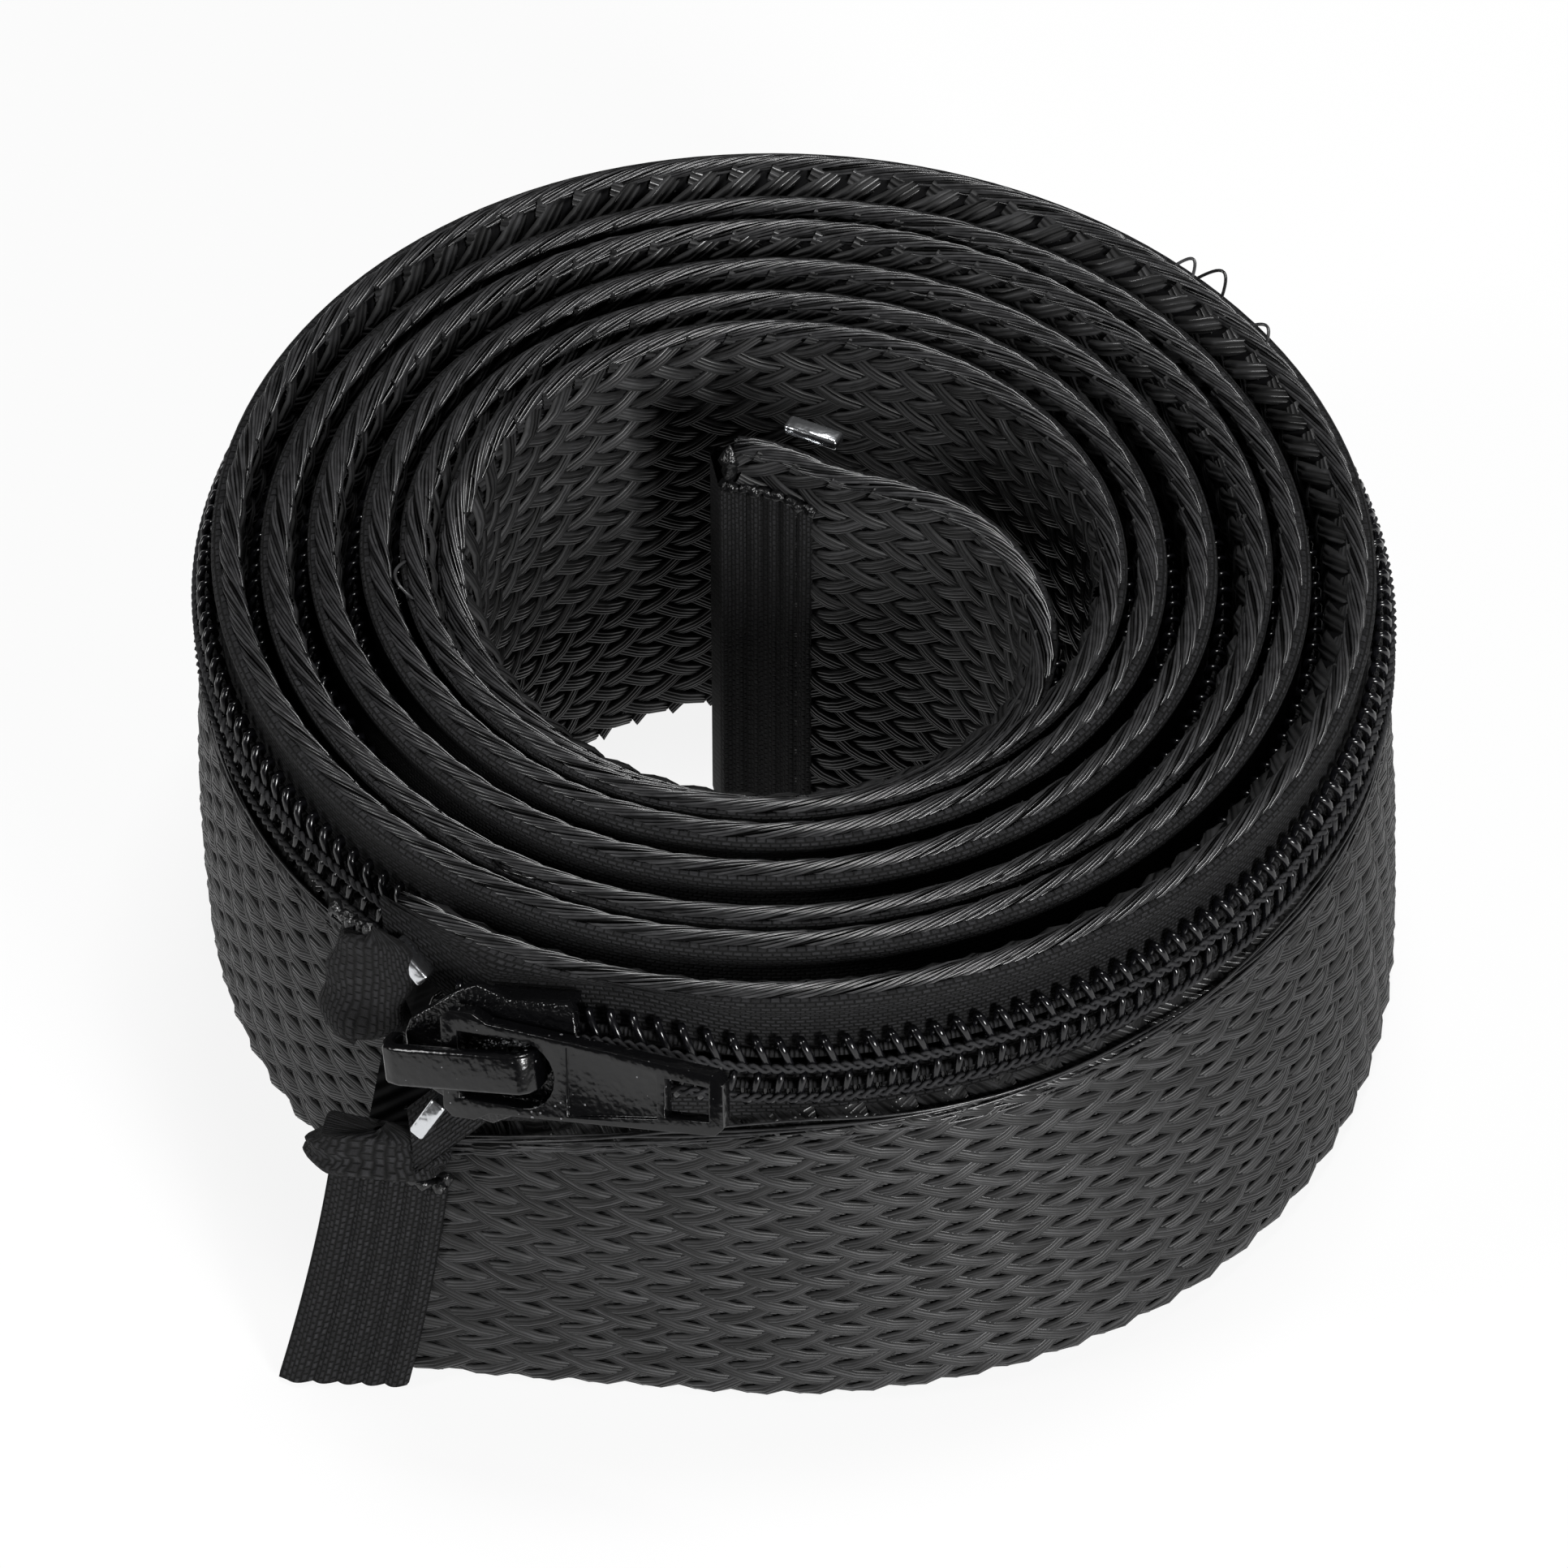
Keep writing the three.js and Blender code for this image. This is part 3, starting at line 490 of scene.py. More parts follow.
def grid_faces(count, rows, columns, closed=False):
    """Quads of count separate grids whose points run row by row."""
    wide = columns if closed else columns - 1
    r, c = np.meshgrid(np.arange(rows - 1), np.arange(wide), indexing="ij")
    n = (c + 1) % columns
    quads = np.stack([r * columns + c, (r + 1) * columns + c,
                      (r + 1) * columns + n, r * columns + n], -1).reshape(-1, 4)
    return (quads[None] + (np.arange(count) * rows * columns)[:, None, None]).reshape(-1, 4)


def outward(points, faces, centre_line):
    """Turns the faces over if they look towards the line that they should look away from."""
    a, b, c = (points[faces[:, k]] for k in (0, 1, 2))
    facing = np.einsum("ij,ij->i", np.cross(b - a, c - a), a - centre_line[faces[:, 0]])
    return faces if facing.sum() > 0 else faces[:, ::-1]


def tubes(paths, guides, radius, sides):
    """Round wires along paths, an array of shape (wires, points, 3), thin at both ends."""
    along = np.gradient(paths, axis=1)
    along /= np.linalg.norm(along, axis=-1, keepdims=True)
    across = np.cross(along, guides)
    across /= np.linalg.norm(across, axis=-1, keepdims=True)
    over = np.cross(across, along)
    turn = 2 * np.pi * np.arange(sides) / sides
    radius = np.broadcast_to(radius, paths.shape[:2]).copy()
    radius[:, [0, -1]] *= 0.1
    ring = (across[:, :, None] * np.cos(turn)[:, None]
            + over[:, :, None] * np.sin(turn)[:, None])
    points = paths[:, :, None] + ring * radius[:, :, None, None]
    wires, rows = paths.shape[:2]
    faces = grid_faces(wires, rows, sides, closed=True)
    flat = points.reshape(-1, 3)
    core = np.repeat(paths.reshape(-1, 3), sides, axis=0)
    wire = np.repeat(np.arange(wires) + 0.5, rows * sides)
    run = np.linalg.norm(np.diff(paths, axis=1), axis=-1).cumsum(axis=1)
    run = np.concatenate([np.zeros((wires, 1)), run], 1)
    uv = np.stack([wire, np.repeat(run.ravel(), sides)], -1)
    return flat, outward(flat, faces, core), uv


UP = np.array([0.0, 0.0, 1.0])

# %% [markdown]
# Under the strands lies the tube itself: an inner layer that reaches up to the selvage, a fold at
# the floor and an outer layer up to the seam. It closes the gaps between the strands, as the
# second layer of filaments does in the real braid, and is painted near black as shade.

# %% The tube behind the strands
SHEET_SINK = 0.45


def section(angle):
    """The tube's section at each angle, as distances out and heights, in order round it."""
    half = WALL / 2
    inner = half + CHANNEL_GAP
    outer = OUTER_LAYER - SHEET_SINK
    seam, neck = seam_at(angle), neck_shift(angle)
    corners = [
        (-half, 3), (-half + neck * 0.5, 30), (-half + neck, NECK_HEIGHT), (-0.6, 59), (0, 59.6),
        (0.6, 59), (half + neck, NECK_HEIGHT), (half, FOLD_HEIGHT), (inner, FOLD_HEIGHT),
        (inner, seam - half), (outer, seam), (outer + WALL_BULGE, seam * 0.5), (outer, 2.6),
        (inner - 0.2, 0.6), (half + 0.6, 0.6)]
    out = np.stack([np.broadcast_to(c[0], angle.shape) for c in corners], -1)
    z = np.stack([np.broadcast_to(c[1], angle.shape) for c in corners], -1)
    return out, z


def tube_sheet():
    angles = np.arange(OUTER_END + 0.3, INNER_END - 0.3, 3.0)
    out, z = section(angles)
    points = wall_point(angles[:, None], out, z)
    rows, columns = out.shape
    flat = points.reshape(-1, 3)
    middle = wall_point(angles[:, None], OUTER_LAYER / 2, np.full_like(z, 30)).reshape(-1, 3)
    faces = outward(flat, grid_faces(1, rows, columns, closed=True), middle)
    run = np.concatenate([[0], np.cumsum(np.linalg.norm(np.diff(points[0], axis=0), axis=1))])
    uv = np.stack(np.meshgrid(length_at(angles), run, indexing="ij"), -1).reshape(-1, 2)
    return soft_piece("braid_sheet", flat, faces, BRAID_SHADOW, uv)


sheet = tube_sheet()
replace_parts(sheet, "braid_sleeve")

# %% [markdown]
# The braid is a two-over-two-under weave of flat strands, each of five filaments. In such a braid
# whether a strand is on top depends only on its height. So every strand is a straight line on the
# unrolled wall, and goes in and out like a wave. Above the seam the strands dip behind the tape.

# %% Strands
# A strand's shape: step along the sleeve and rise between crossings, width, and skew
FRONT_SHAPE = (2.62, 0.93, 1.62, -0.25)
INNER_SHAPE = (2.35, 1.18, 1.75, 0.0)
STRAND_SWING = 0.5
STRAND_CROWN = 0.25
FILAMENT_RIDGE = 0.23
FILAMENT_FLANKS = np.array([0, 0.24, 0.76])
BEHIND_DEPTH, BEHIND_GAP, BEHIND_RISE = 2.8, 0.2, 1.4
FOLD_ROUND, FOLD_INSET = 2.2, 2.3
LIP_START, LIP_RISE = 56.5, 3


def strands(skin, start, end, low, high, falling, ridges, step_mm, shape):
    """Strands of one direction on a skin between two lengths and two heights, with their UV."""
    step, rise, width, skew = shape
    slope = (-step if falling else step) / rise + skew
    reach = slope * (high - low)
    first, last = min(start, start - reach), max(end, end - reach)
    starts = np.arange(math.floor(first / (2 * step)), math.ceil(last / (2 * step)) + 1) * 2 * step
    count = max(3, round((high - low) / step_mm))
    height = np.linspace(low, high, count)
    length = starts[:, None] + slope * (height - low)[None]
    height = np.broadcast_to(height, length.shape)
    phase = np.pi * (height - 0.5 * rise) / (2 * rise)
    swing = STRAND_SWING * np.cos(phase) * (1 if falling else -1)
    parts = np.arange(3 * ridges + 1)
    offsets = (parts // 3 + FILAMENT_FLANKS[parts % 3]) / ridges - 0.5
    ridge = np.where(parts % 3, FILAMENT_RIDGE, 0.0)
    crown = STRAND_CROWN * (1 - (2 * offsets) ** 2)
    run = math.hypot(slope, 1)
    d_length, d_height = width / run, -slope * width / run
    points = skin(length[..., None] + offsets * d_length, height[..., None] + offsets * d_height,
                  swing[..., None] + ridge + crown)
    number = np.arange(len(starts))[:, None, None] * ridges + (offsets + 0.5) * ridges
    uv = np.stack(np.broadcast_arrays(number, length[..., None]), -1)
    points = np.concatenate([points, uv], -1)
    inside = ((length > start) & (length < end)).all(axis=1)
    partly = ((length > start) & (length < end)).any(axis=1) & ~inside
    return points[inside], points[partly], length[partly]


def outer_skin(length, height, lift):
    """The outside of the outermost turn, which rounds into the fold below FOLD_HEIGHT."""
    angle = angle_at(length)
    seam = seam_at(angle)
    share = np.clip((seam - height) / (seam - FOLD_HEIGHT), 0, 1)
    bend = np.clip((FOLD_HEIGHT - height) / FOLD_HEIGHT, 0, 1) * np.pi / 2
    tuck = BEHIND_DEPTH * ease((height - seam - BEHIND_GAP) / BEHIND_RISE)
    out = OUTER_LAYER - 0.1 + WALL_BULGE * np.sin(np.pi * share) + lift - tuck
    round_out = OUTER_LAYER - FOLD_INSET + (FOLD_ROUND + lift) * np.cos(bend)
    round_z = FOLD_HEIGHT - (FOLD_ROUND + lift * 0.8) * np.sin(bend)
    low = height < FOLD_HEIGHT
    return wall_point(angle, np.where(low, round_out, out), np.where(low, round_z, height))


def inner_skin(length, height, lift):
    """The inside of any turn."""
    angle = angle_at(length)
    neck = neck_shift(angle) * np.clip(height / NECK_HEIGHT, 0, 1)
    top = ease((height - LIP_START) / LIP_RISE)
    return wall_point(angle, -WALL / 2 + neck * (1 - top) - lift, height)


def strand_piece(name, skin, start, end, low, high, falling, ridges, step_mm, shape):
    whole, partial, lengths = strands(skin, start, end, low, high, falling, ridges, step_mm, shape)
    count, rows, columns = whole.shape[:3]
    points = [whole.reshape(-1, 5)]
    faces = [grid_faces(count, rows, columns)]
    base = count * rows * columns
    for strand, length in zip(partial, lengths):
        kept = strand[(length > start) & (length < end)]
        if len(kept) > 1:
            points.append(kept.reshape(-1, 5))
            faces.append(grid_faces(1, len(kept), columns) + base)
            base += len(kept) * columns
    points, faces = np.concatenate(points), np.concatenate(faces)
    if falling == (skin is outer_skin):
        faces = faces[:, ::-1]
    return soft_piece(name, points[:, :3], faces, BRAID, points[:, 3:])


for side in (True, False):
    strand_piece(f"braid_front_{'falling' if side else 'rising'}", outer_skin,
                 1.0, length_at(TURN_ONE + 6), 0.3, SEAM_HEIGHT + 1.5, side, 5, 0.66, FRONT_SHAPE)

# %% [markdown]
# Inside, the braid shows at the top of every turn and on the whole wall round the hole. Its
# strands are drawn with three or four filaments there, and the hidden parts are left to the sheet.

# %% Strands on the inner side
CORE_START = length_at(INNER_END - 470)
for side in (True, False):
    strand_piece(f"braid_lip_{'falling' if side else 'rising'}", inner_skin,
                 1.0, CORE_START, 47.5, 59.0, side, 3, 0.8, INNER_SHAPE)
    strand_piece(f"braid_core_{'falling' if side else 'rising'}", inner_skin,
                 CORE_START, length_at(INNER_END - 1), 1.2, 59.0, side, 4, 0.6, INNER_SHAPE)

# %% [markdown]
# Along the upper edge the strands turn over and run back, which makes a rope of filaments. It is
# drawn as four bundles of four filaments that wind round the edge.

# %% Selvage rope
ROPE_LEAD, ROPE_HEIGHT, BUNDLE_SPREAD = 23, 59.15, 1.45
ROPE_BUNDLES, ROPE_FILAMENTS = 4, 4
FILAMENT_RADIUS = 0.19


def selvage_rope():
    length = np.arange(0.4, length_at(INNER_END), 2.1)
    angle = angle_at(length)
    paths = []
    for bundle in range(ROPE_BUNDLES):
        for k in range(ROPE_FILAMENTS):
            offset = (k + 0.5) / ROPE_FILAMENTS - 0.5
            wander = 0.25 * np.sin(length / 37 + bundle)
            turn = 2 * np.pi * (length / ROPE_LEAD + (bundle + wander * 0.3) / ROPE_BUNDLES)
            turn = turn + offset * BUNDLE_SPREAD
            radius = 0.72 + 0.34 * np.cos(np.pi * offset) + 0.05 * np.sin(length / 5 + 2 * k)
            height = ROPE_HEIGHT + 0.85 * radius * np.sin(turn)
            paths.append(wall_point(angle, radius * np.cos(turn), height))
    paths = np.stack(paths)
    points, faces, uv = tubes(paths, UP, FILAMENT_RADIUS, 4)
    return soft_piece("selvage_rope", points, faces, BRAID, uv)


selvage_rope()

# %% [markdown]
# The outer layer's own edge runs along the zipper. The strands bunch there into nearly level
# filaments that rise and fall over each other.

# %% Filaments along the seam
SEAM_FILAMENTS, SEAM_FILAMENT_RADIUS = 12, 0.17


def seam_bundle():
    length = np.arange(1.0, length_at(TURN_ONE + 4), 1.3)
    angle = angle_at(length)
    paths = []
    for k in range(SEAM_FILAMENTS):
        drift = np.sin(length / (9 + 0.7 * k) + 2.4 * k)
        height = seam_at(angle) - 1.2 + 2.6 * k / SEAM_FILAMENTS + 0.55 * drift
        out = OUTER_LAYER + 0.35 + 0.25 * np.sin(length / 6 + 1.7 * k) - 0.15 * k / SEAM_FILAMENTS
        paths.append(wall_point(angle, out, height))
    points, faces, uv = tubes(np.stack(paths), UP, SEAM_FILAMENT_RADIUS, 4)
    return soft_piece("seam_filaments", points, faces, BRAID, uv)


seam_bundle()

# %% [markdown]
# The tapes. Each is a thin woven strip that lies behind the coils. The upper one is sewn to the
# selvage and shows as a soft band beside the rope. A strip is a closed ribbon of two faces.

# %% Tapes


def tape_piece(name, angles, lines):
    """A closed ribbon through lines, each a function of the angle, in order across the tape."""
    front = np.stack([line(angles, 0) for line in lines], 1)
    behind = np.stack([line(angles, -TAPE_THICKNESS) for line in lines[::-1]], 1)
    points = np.concatenate([front, behind], 1)
    rows, columns = points.shape[:2]
    flat = points.reshape(-1, 3)
    core = np.repeat(points.mean(1), columns, axis=0)
    faces = outward(flat, grid_faces(1, rows, columns, closed=True), core)
    across = np.linalg.norm(np.diff(front[rows // 2], axis=0), axis=1)
    run = np.concatenate([[0], np.cumsum(across)])
    run = np.concatenate([run, run[::-1]])
    uv = np.stack(np.meshgrid(length_at(angles) * 1.05, run, indexing="ij"), -1).reshape(-1, 2)
    return soft_piece(name, flat, faces, TAPE, uv)


def held(across):
    """A line of the tape that the coil or the slider holds at one distance from the middle."""
    return lambda a, deep: chain_point(a, across, TAPE_FACE + deep)


TAPE_ANGLES = np.concatenate([np.arange(TAPE_START, -80, 1.0), np.arange(-80, INNER_END, 2.5)])


def upper_tape():
    edge = CHAIN_HALF + CLEARANCE + FLANGE_WALL + CLEARANCE

    def soft(share):
        def line(a, deep):
            low = chain_point(a, edge, TAPE_FACE + deep)
            high = wall_point(a, CHAIN_OUT + TAPE_FACE + deep - 0.2, TAPE_TOP)
            crown = wall_point(a, 0.8, 0.6) - wall_point(a, 0, 0)
            return mix(low, high, share) + crown * math.sin(math.pi * share) * 0.9
        return line
    lines = [soft(s) for s in (1, 0.8, 0.6, 0.4, 0.2, 0)] + [held(edge - 2), held(2.4), held(0.6)]
    return tape_piece("tape_upper", TAPE_ANGLES, lines)


def lower_tape():
    edge = -SHOULDER_HALF - CLEARANCE
    hem_out = WALL / 2 + CHANNEL_GAP - CLEARANCE

    def hem(a, deep):
        sunk = ease((a - TUCK_START) / TUCK_ANGLE)
        behind = ease((a - TUCK_START) / TUCK_ANGLE + 1)
        height = seam_at(a) + mix(HEM_RISE, -TAPE_OVERLAP, sunk)
        return wall_point(a, hem_out + deep + mix(WALL, 0, behind), height)

    def soft(share):
        return lambda a, deep: mix(held(edge)(a, deep), hem(a, deep), share)
    lines = [held(-0.6), held(-2.4), held(edge + 2)] + [soft(s) for s in (0, 0.33, 0.67, 1)]
    return tape_piece("tape_lower", TAPE_ANGLES, lines)


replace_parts(upper_tape(), "zipper_tape_upper")
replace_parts(lower_tape(), "zipper_tape_lower")

# %% [markdown]
# Each coil is a thick nylon wire bent into slanted loops round a cord, and the loops of the two
# coils meet in the middle. The outermost turn is drawn with round wire, and the turns inside it,
# of which only edges show, with four-sided wire.

# %% Coils
COIL_RADIUS = 0.44
# One turn of the wire: across from the middle, out, and along in pitches
COIL_TURN = [(0.5, -0.55, 0.1), (-0.25, 0.0, 0.05), (0.6, 0.55, 0), (2.2, 0.66, -0.1),
             (3.6, 0.6, -0.3), (4.4, 0.2, -0.46), (4.5, -0.35, -0.55), (3.4, -0.62, -0.6),
             (1.8, -0.62, -0.75)]


def coil_paths(side, start, end, shift):
    across, out, along = (np.array(c) for c in zip(*COIL_TURN))
    first = length_at(start)
    teeth = np.arange((length_at(end) - first) / COIL_PITCH)
    length = first + (teeth[:, None] + shift + along) * COIL_PITCH
    angle = angle_at(length)
    return chain_point(angle, side * np.maximum(across, 0.02), out), angle


def coil_piece(name, side, start, end, sides):
    paths, angle = coil_paths(side, start, end, 0.75 if side > 0 else 1.25)
    guide = chain_point(angle + 0.5, 0.01, 0) - chain_point(angle - 0.5, 0.01, 0)
    points, faces, uv = tubes(paths, guide, COIL_RADIUS, sides)
    return soft_piece(name, points, faces, COIL, uv)


COIL_START = SLIDER_ANGLE - MOUTH_ANGLE
for side, label in ((1, "upper"), (-1, "lower")):
    first = coil_piece(f"coil_{label}_front", side, COIL_START, TURN_ONE, 7)
    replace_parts(first, f"coil_{label}")
    coil_piece(f"coil_{label}_rest", side, TURN_ONE, CHAIN_END, 4)

# %% [markdown]
# Inside each coil runs a cord. Two sewing threads twist round each other over the loops of the
# outermost turn, as the chain stitch does that holds a coil to its tape.

# %% Cords and stitches


def running(name, side, across, out, radius, material, start, end, step, wave=None):
    length = np.arange(length_at(start), length_at(end), step)
    angle = angle_at(length)
    sway, hop = wave(length) if wave else (0, 0)
    path = chain_point(angle, side * (across + sway), out + hop)
    guide = chain_point(angle, 0.01, 1) - chain_point(angle, 0.01, 0)
    points, faces, uv = tubes(path[None], guide[None], radius, 5)
    return soft_piece(name, points, faces, material, uv)


def stitch(phase):
    def wave(length):
        turn = 2 * np.pi * length / COIL_PITCH + phase
        return 0.36 * np.cos(turn), 0.2 * np.sin(turn)
    return wave


STITCH_OUT = COIL_THICKNESS / 2 + 0.15
for side, label, seam_across in ((1, "upper", 1.7), (-1, "lower", 2.8)):
    running(f"cord_{label}", side, 2.4, -0.35, 0.5, TAPE, COIL_START, CHAIN_END, 3.0)
    for k in range(2):
        running(f"stitch_{label}_{k}", side, seam_across, STITCH_OUT, 0.26, THREAD,
                COIL_START, TURN_ONE, COIL_PITCH / 8, stitch(math.pi * k))

# %% [markdown]
# The cut ends of the tube are bound with a ribbed knitted band, folded over the edge. Its ribs
# run up and down.

# %% End bands
BAND_WIDTH, BAND_THICKNESS, BAND_RIBS, RIB_DEPTH = 11, 1.0, 5, 0.5


def end_band(name, edge, inward, low, high, inner_extra):
    scale = selvage_radius(np.array(float(edge))) * math.radians(1)
    outer = OUTER_LAYER + CLEARANCE + WALL_BULGE + 0.25
    inner = -WALL / 2 - CLEARANCE - inner_extra
    face = np.linspace(BAND_WIDTH, 0, 8 * BAND_RIBS + 1)
    rib = RIB_DEPTH * (np.abs(np.sin(np.pi * BAND_RIBS * face / BAND_WIDTH)) - 1)
    front = [(a, outer + BAND_THICKNESS + r) for a, r in zip(face, rib)]
    end = CLEARANCE + BAND_THICKNESS
    corner = [(-0.7 * end, outer + 0.7), (-end, outer), (-end, inner), (-0.7 * end, inner - 0.7)]
    behind = [(a, inner - BAND_THICKNESS - r) for a, r in zip(face[::-1], rib)]
    hollow = [(BAND_WIDTH, inner), (-CLEARANCE, inner), (-CLEARANCE, outer), (BAND_WIDTH, outer)]
    plan = np.array(front + corner + behind + hollow)
    levels = np.linspace(low, high, 28)
    frayed = 0.25 * np.sin(plan[:, 0] * 5)
    z = np.broadcast_to(levels[:, None], (28, len(plan))) + frayed * (levels[:, None] == levels[-1])
    narrow = selvage_radius(edge) / (selvage_radius(edge) + lean(edge, levels))[:, None]
    points = wall_point(edge + inward * plan[:, 0] * narrow / scale, plan[:, 1], z)
    flat = points.reshape(-1, 3)
    middle = wall_point(edge + inward * 5 / scale, (outer + inner) / 2, 15)
    solid = outward(flat, grid_faces(1, 28, len(plan), closed=True), np.tile(middle, (len(flat), 1)))
    run = np.concatenate([[0], np.cumsum(np.linalg.norm(np.diff(plan, axis=0), axis=1))])
    uv = np.stack(np.meshgrid(levels, run, indexing="ij"), -1).reshape(-1, 2)
    return soft_piece(name, flat, solid, BAND, uv)


outer_band = end_band("band_outer", OUTER_END, 1, 0.4, 26.8, NECK_SETBACK)
inner_band = end_band("band_inner", INNER_END, -1, 0.4, 54, 0)
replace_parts(outer_band, "outer_end_band")
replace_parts(inner_band, "inner_end_band")

# %% [markdown]
# At the open end the zipper's tapes are cut, rolled outward and sewn down, one roll above the
# slider and one below it. Every cut was made hot, which leaves a lumpy glossy line.

# %% Tape rolls and melted edges


def tape_roll(name, angle, out, low, high, half_along, half_out):
    """A closed lump of rolled tape between two heights; angle and out give its middle."""
    levels = np.linspace(-1, 1, 22)
    turn = np.linspace(0, 2 * np.pi, 28, endpoint=False)
    size = np.maximum(1 - levels ** 8, 0.01)[:, None] ** 0.5
    fold = 1 + 0.1 * np.sin(3 * turn + 3 * levels[:, None]) + 0.06 * np.sin(8 * levels[:, None])
    along = half_along * size * fold * np.sign(np.cos(turn)) * np.abs(np.cos(turn)) ** 0.7
    deep = half_out * size * fold * np.sign(np.sin(turn)) * np.abs(np.sin(turn)) ** 0.7
    z = mix(low, high, (levels + 1) / 2)[:, None] + 0.9 * np.cos(turn) + 0.3 * np.sin(2 * turn)
    points = wall_point(angle + np.degrees(along / SLIDER_RADIUS), out + deep, z)
    flat = points.reshape(-1, 3)
    core = np.repeat(points.mean(1), len(turn), axis=0)
    faces = outward(flat, grid_faces(1, len(levels), len(turn), closed=True), core)
    around = turn * (half_along + half_out) / 2
    uv = np.stack(np.meshgrid(levels * (high - low) / 2, around, indexing="ij"), -1)
    return soft_piece(name, flat, faces, TAPE, uv.reshape(-1, 2))


def melted_edge(name, path, radius):
    """A lumpy wire of melt along a path of points."""
    count = np.arange(len(path))
    size = radius * (1 + 0.3 * np.sin(count * 1.7) + 0.25 * np.sin(count * 0.9 + 1))
    lift = 0.25 * np.sin(count * 1.3)[:, None] * UP
    points, faces, uv = tubes((path + lift)[None], UP + 0.01, size[None], 8)
    return soft_piece(name, points, faces, MELT, uv)


def band_edge(edge, inward, out, z, reach=BAND_WIDTH):
    run = np.linspace(-CLEARANCE, reach, 30)
    return wall_point(edge + inward * np.degrees(run / (selvage_radius(edge) + out)), out, z)


tape_roll("roll_upper", -127.6, 5.0, 44.0, 58.5, 5.0, 1.6)
tape_roll("roll_lower", -124.6, 6.2, 27.6, 33.8, 6.8, 1.9)
melted_edge("melt_outer", band_edge(OUTER_END, 1, OUTER_LAYER + 2.2, 27.0), 0.7)
melted_edge("melt_outer_back", band_edge(OUTER_END, 1, OUTER_LAYER + 1.0, 27.2), 0.7)
melted_edge("melt_inner", band_edge(INNER_END, -1, -1.4, 54.2), 0.6)
melted_edge("melt_roll", band_edge(-132.0, 1, 4.8, 58.0, 9.5), 0.7)
melted_edge("melt_inner_end", wall_point(INNER_END, -0.5, np.linspace(53, 59.6, 12)), 0.9)
melted_edge("melt_outer_end", wall_point(OUTER_END, -2.0, np.linspace(26, 58, 40)), 0.6)

# %% [markdown]
# A few filaments have come loose from the selvage and stand off it in loops.

# %% Loose filaments
# For each loop its angle, its reach in degrees and how far it stands off
LOOSE = [(33, 3.0, 1.2), (41, 4.0, 2.4), (44.5, 2.6, 1.7), (1625, 9, 1.5), (600, 6, 1.3)]


def loose_filaments():
    turn = np.linspace(0, np.pi, 16)
    rise = np.sin(turn)
    paths = np.stack([wall_point(at + reach * (turn / np.pi - 0.5), 0.8 + off * rise,
                                 59.4 + 0.6 * off * rise) for at, reach, off in LOOSE])
    points, faces, uv = tubes(paths, UP, FILAMENT_RADIUS, 6)
    return soft_piece("filaments_loose", points, faces, BRAID, uv)


loose_filaments()

# %% [markdown]
# The hard pieces keep the CAD's shapes. A copy of each node is merged into one skin and gets
# small round edges, because a cast and painted edge always catches a line of light.

# %% Hard pieces


EDGE_ANGLE = math.radians(30)
SMOOTH_ANGLE = math.radians(40)


def rounded(name, node, material, body, radius_mm):
    bpy.ops.object.select_all(action="DESELECT")
    obj = nodes[node].copy()
    obj.data = nodes[node].data.copy()
    obj.name = name
    for key in list(obj.keys()):
        del obj[key]
    obj.parent = None
    bpy.context.scene.collection.objects.link(obj)
    obj.select_set(True)
    bpy.context.view_layer.objects.active = obj
    bpy.ops.object.mode_set(mode="EDIT")
    bpy.ops.mesh.select_all(action="SELECT")
    bpy.ops.mesh.remove_doubles(threshold=0.00001)
    bpy.ops.mesh.dissolve_limited(angle_limit=math.radians(1))
    bpy.ops.object.mode_set(mode="OBJECT")
    edge = obj.modifiers.new("edge", "BEVEL")
    edge.width = radius_mm * MM
    edge.segments = 3
    edge.limit_method = "ANGLE"
    edge.angle_limit = EDGE_ANGLE
    bpy.ops.object.modifier_apply(modifier="edge")
    bpy.ops.object.shade_smooth_by_angle(angle=SMOOTH_ANGLE)
    obj.data.materials.clear()
    obj.data.materials.append(material)
    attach(obj, body)
    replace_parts(obj, node)
    print(name, len(obj.data.polygons), "faces")


rounded("slider_wings", "slider_body", ENAMEL, "slider", 0.3)
rounded("slider_arch", "slider_crown", ENAMEL_SMOOTH, "slider", 0.5)
rounded("pull", "pull_tab", ENAMEL_SMOOTH, "pull", 0.3)
rounded("pawl_leaf", "lock_pawl", STEEL, "pawl", 0.1)
rounded("stop_upper", "top_stop_upper", STEEL, "sleeve", 0.4)
rounded("stop_lower", "top_stop_lower", STEEL, "sleeve", 0.4)
rounded("stop_far", "bottom_stop", STEEL, "sleeve", 0.4)

# %% [markdown]
# The far stop's clip shows above the selvage as one bright bar. It is a plain block with round
# edges, set along the wall.

# %% Bar of the far stop
BAR_SIZE = (6.6, 2.2, 1.4)
BAR_PLACE, BAR_TURN = (4.6, 21.4, 57.6), -26


def stop_bar():
    bpy.ops.object.select_all(action="DESELECT")
    bpy.ops.mesh.primitive_cube_add(size=1)
    bar = bpy.context.object
    bar.name = "stop_far_bar"
    bar.scale = Vector(BAR_SIZE) * MM
    bar.rotation_euler = (0, 0, math.radians(BAR_TURN))
    bar.location = Vector(BAR_PLACE) * MM + Vector(roll_axis)
    bpy.ops.object.transform_apply(location=True, rotation=True, scale=True)
    edge = bar.modifiers.new("edge", "BEVEL")
    edge.width, edge.segments = 0.45 * MM, 3
    bpy.ops.object.modifier_apply(modifier="edge")
    bpy.ops.object.shade_smooth_by_angle(angle=SMOOTH_ANGLE)
    bar.data.materials.append(STEEL)
    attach(bar, "sleeve")


stop_bar()

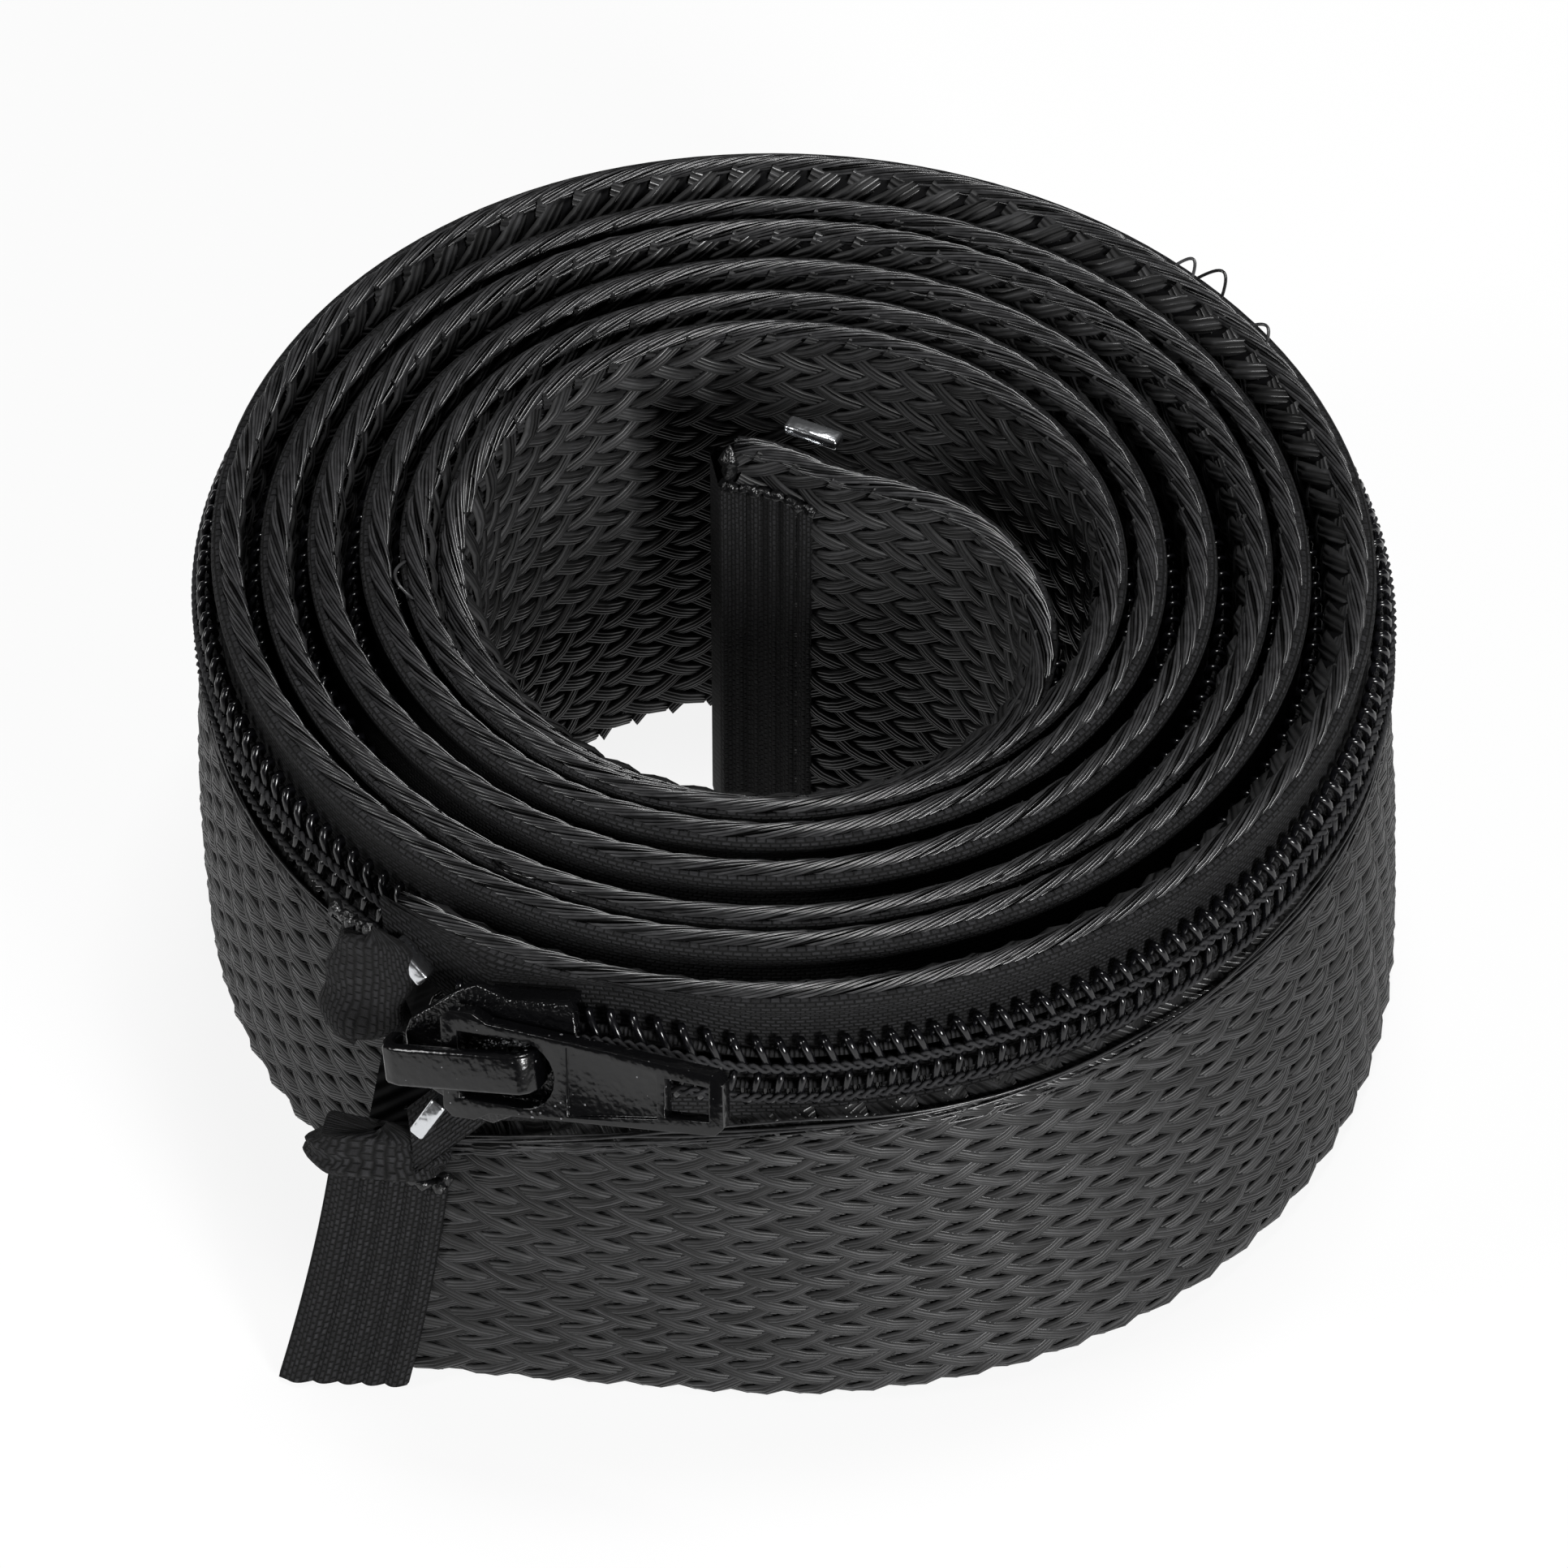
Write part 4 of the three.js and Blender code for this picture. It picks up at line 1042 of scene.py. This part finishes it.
# %% [markdown]
# The floor is a plain pale sheet that the camera sees as white, and it keeps the object's
# shadow. Of the three soft lamps one hangs over the roll, one stands in front on the right, where
# it draws a line of light on the falling strands, and a weaker one stands on the left.

# %% Floor, world and lamps


def white_for_camera(tree, surface, strength):
    """White where the eye or a mirror looks at it, and the plain surface for all other light."""
    path = add(tree, "ShaderNodeLightPath").outputs
    mirror = add(tree, "ShaderNodeMath", {
        0: path["Is Glossy Ray"], 1: path["Is Transmission Ray"]}, operation="MAXIMUM")
    seen = add(tree, "ShaderNodeMath", {
        0: path["Is Camera Ray"], 1: mirror.outputs["Value"]}, operation="MAXIMUM")
    share = add(tree, "ShaderNodeMath", {0: seen.outputs["Value"], 1: strength}, operation="MULTIPLY")
    white = add(tree, "ShaderNodeEmission", {"Color": (1, 1, 1, 1), "Strength": 1.0})
    return add(tree, "ShaderNodeMixShader", {
        0: share.outputs["Value"], 1: surface, 2: white.outputs["Emission"]})


def studio_floor():
    bpy.ops.object.select_all(action="DESELECT")
    bpy.ops.mesh.primitive_plane_add(size=0.9, location=(0, 0, -0.0002))
    floor = bpy.context.object
    floor.name = "studio_floor"
    bpy.ops.object.transform_apply(location=True, rotation=True, scale=True)
    material, tree, shader = new_material("matt white paper", "e8e8e8", 0.9)
    mixed = white_for_camera(tree, shader.outputs["BSDF"], 0.88)
    tree.links.new(mixed.outputs["Shader"], tree.nodes["Material Output"].inputs["Surface"])
    floor.data.materials.append(material)


def studio_world():
    world = bpy.data.worlds.new("studio")
    bpy.context.scene.world = world
    world.use_nodes = True
    tree = world.node_tree
    path = add(tree, "ShaderNodeLightPath")
    dim = tree.nodes["Background"]
    dim.inputs["Color"].default_value = (1, 1, 1, 1)
    dim.inputs["Strength"].default_value = 0.05
    white = add(tree, "ShaderNodeBackground", {"Color": (1, 1, 1, 1), "Strength": 1.0})
    mixed = add(tree, "ShaderNodeMixShader", {
        0: path.outputs["Is Camera Ray"], 1: dim.outputs["Background"],
        2: white.outputs["Background"]})
    tree.links.new(mixed.outputs["Shader"], tree.nodes["World Output"].inputs["Surface"])


def soft_lamp(name, position, size, power):
    data = bpy.data.lights.new(name, "AREA")
    data.shape = "RECTANGLE"
    data.size, data.size_y = size
    data.energy = power
    lamp = bpy.data.objects.new(name, data)
    bpy.context.scene.collection.objects.link(lamp)
    lamp.location = position
    lamp.rotation_euler = (Vector((0, 0, 0.03)) - Vector(position)).to_track_quat("-Z", "Y").to_euler()


bpy.context.scene.view_settings.view_transform = "Standard"
studio_floor()
studio_world()
soft_lamp("lamp_over", (0.1, 0.3, 1.3), (0.4, 0.3), 12)
soft_lamp("lamp_right", (0.62, -1.05, 0.5), (0.3, 0.4), 20)
soft_lamp("lamp_left", (-1.1, -0.3, 0.6), (0.25, 0.5), 6)
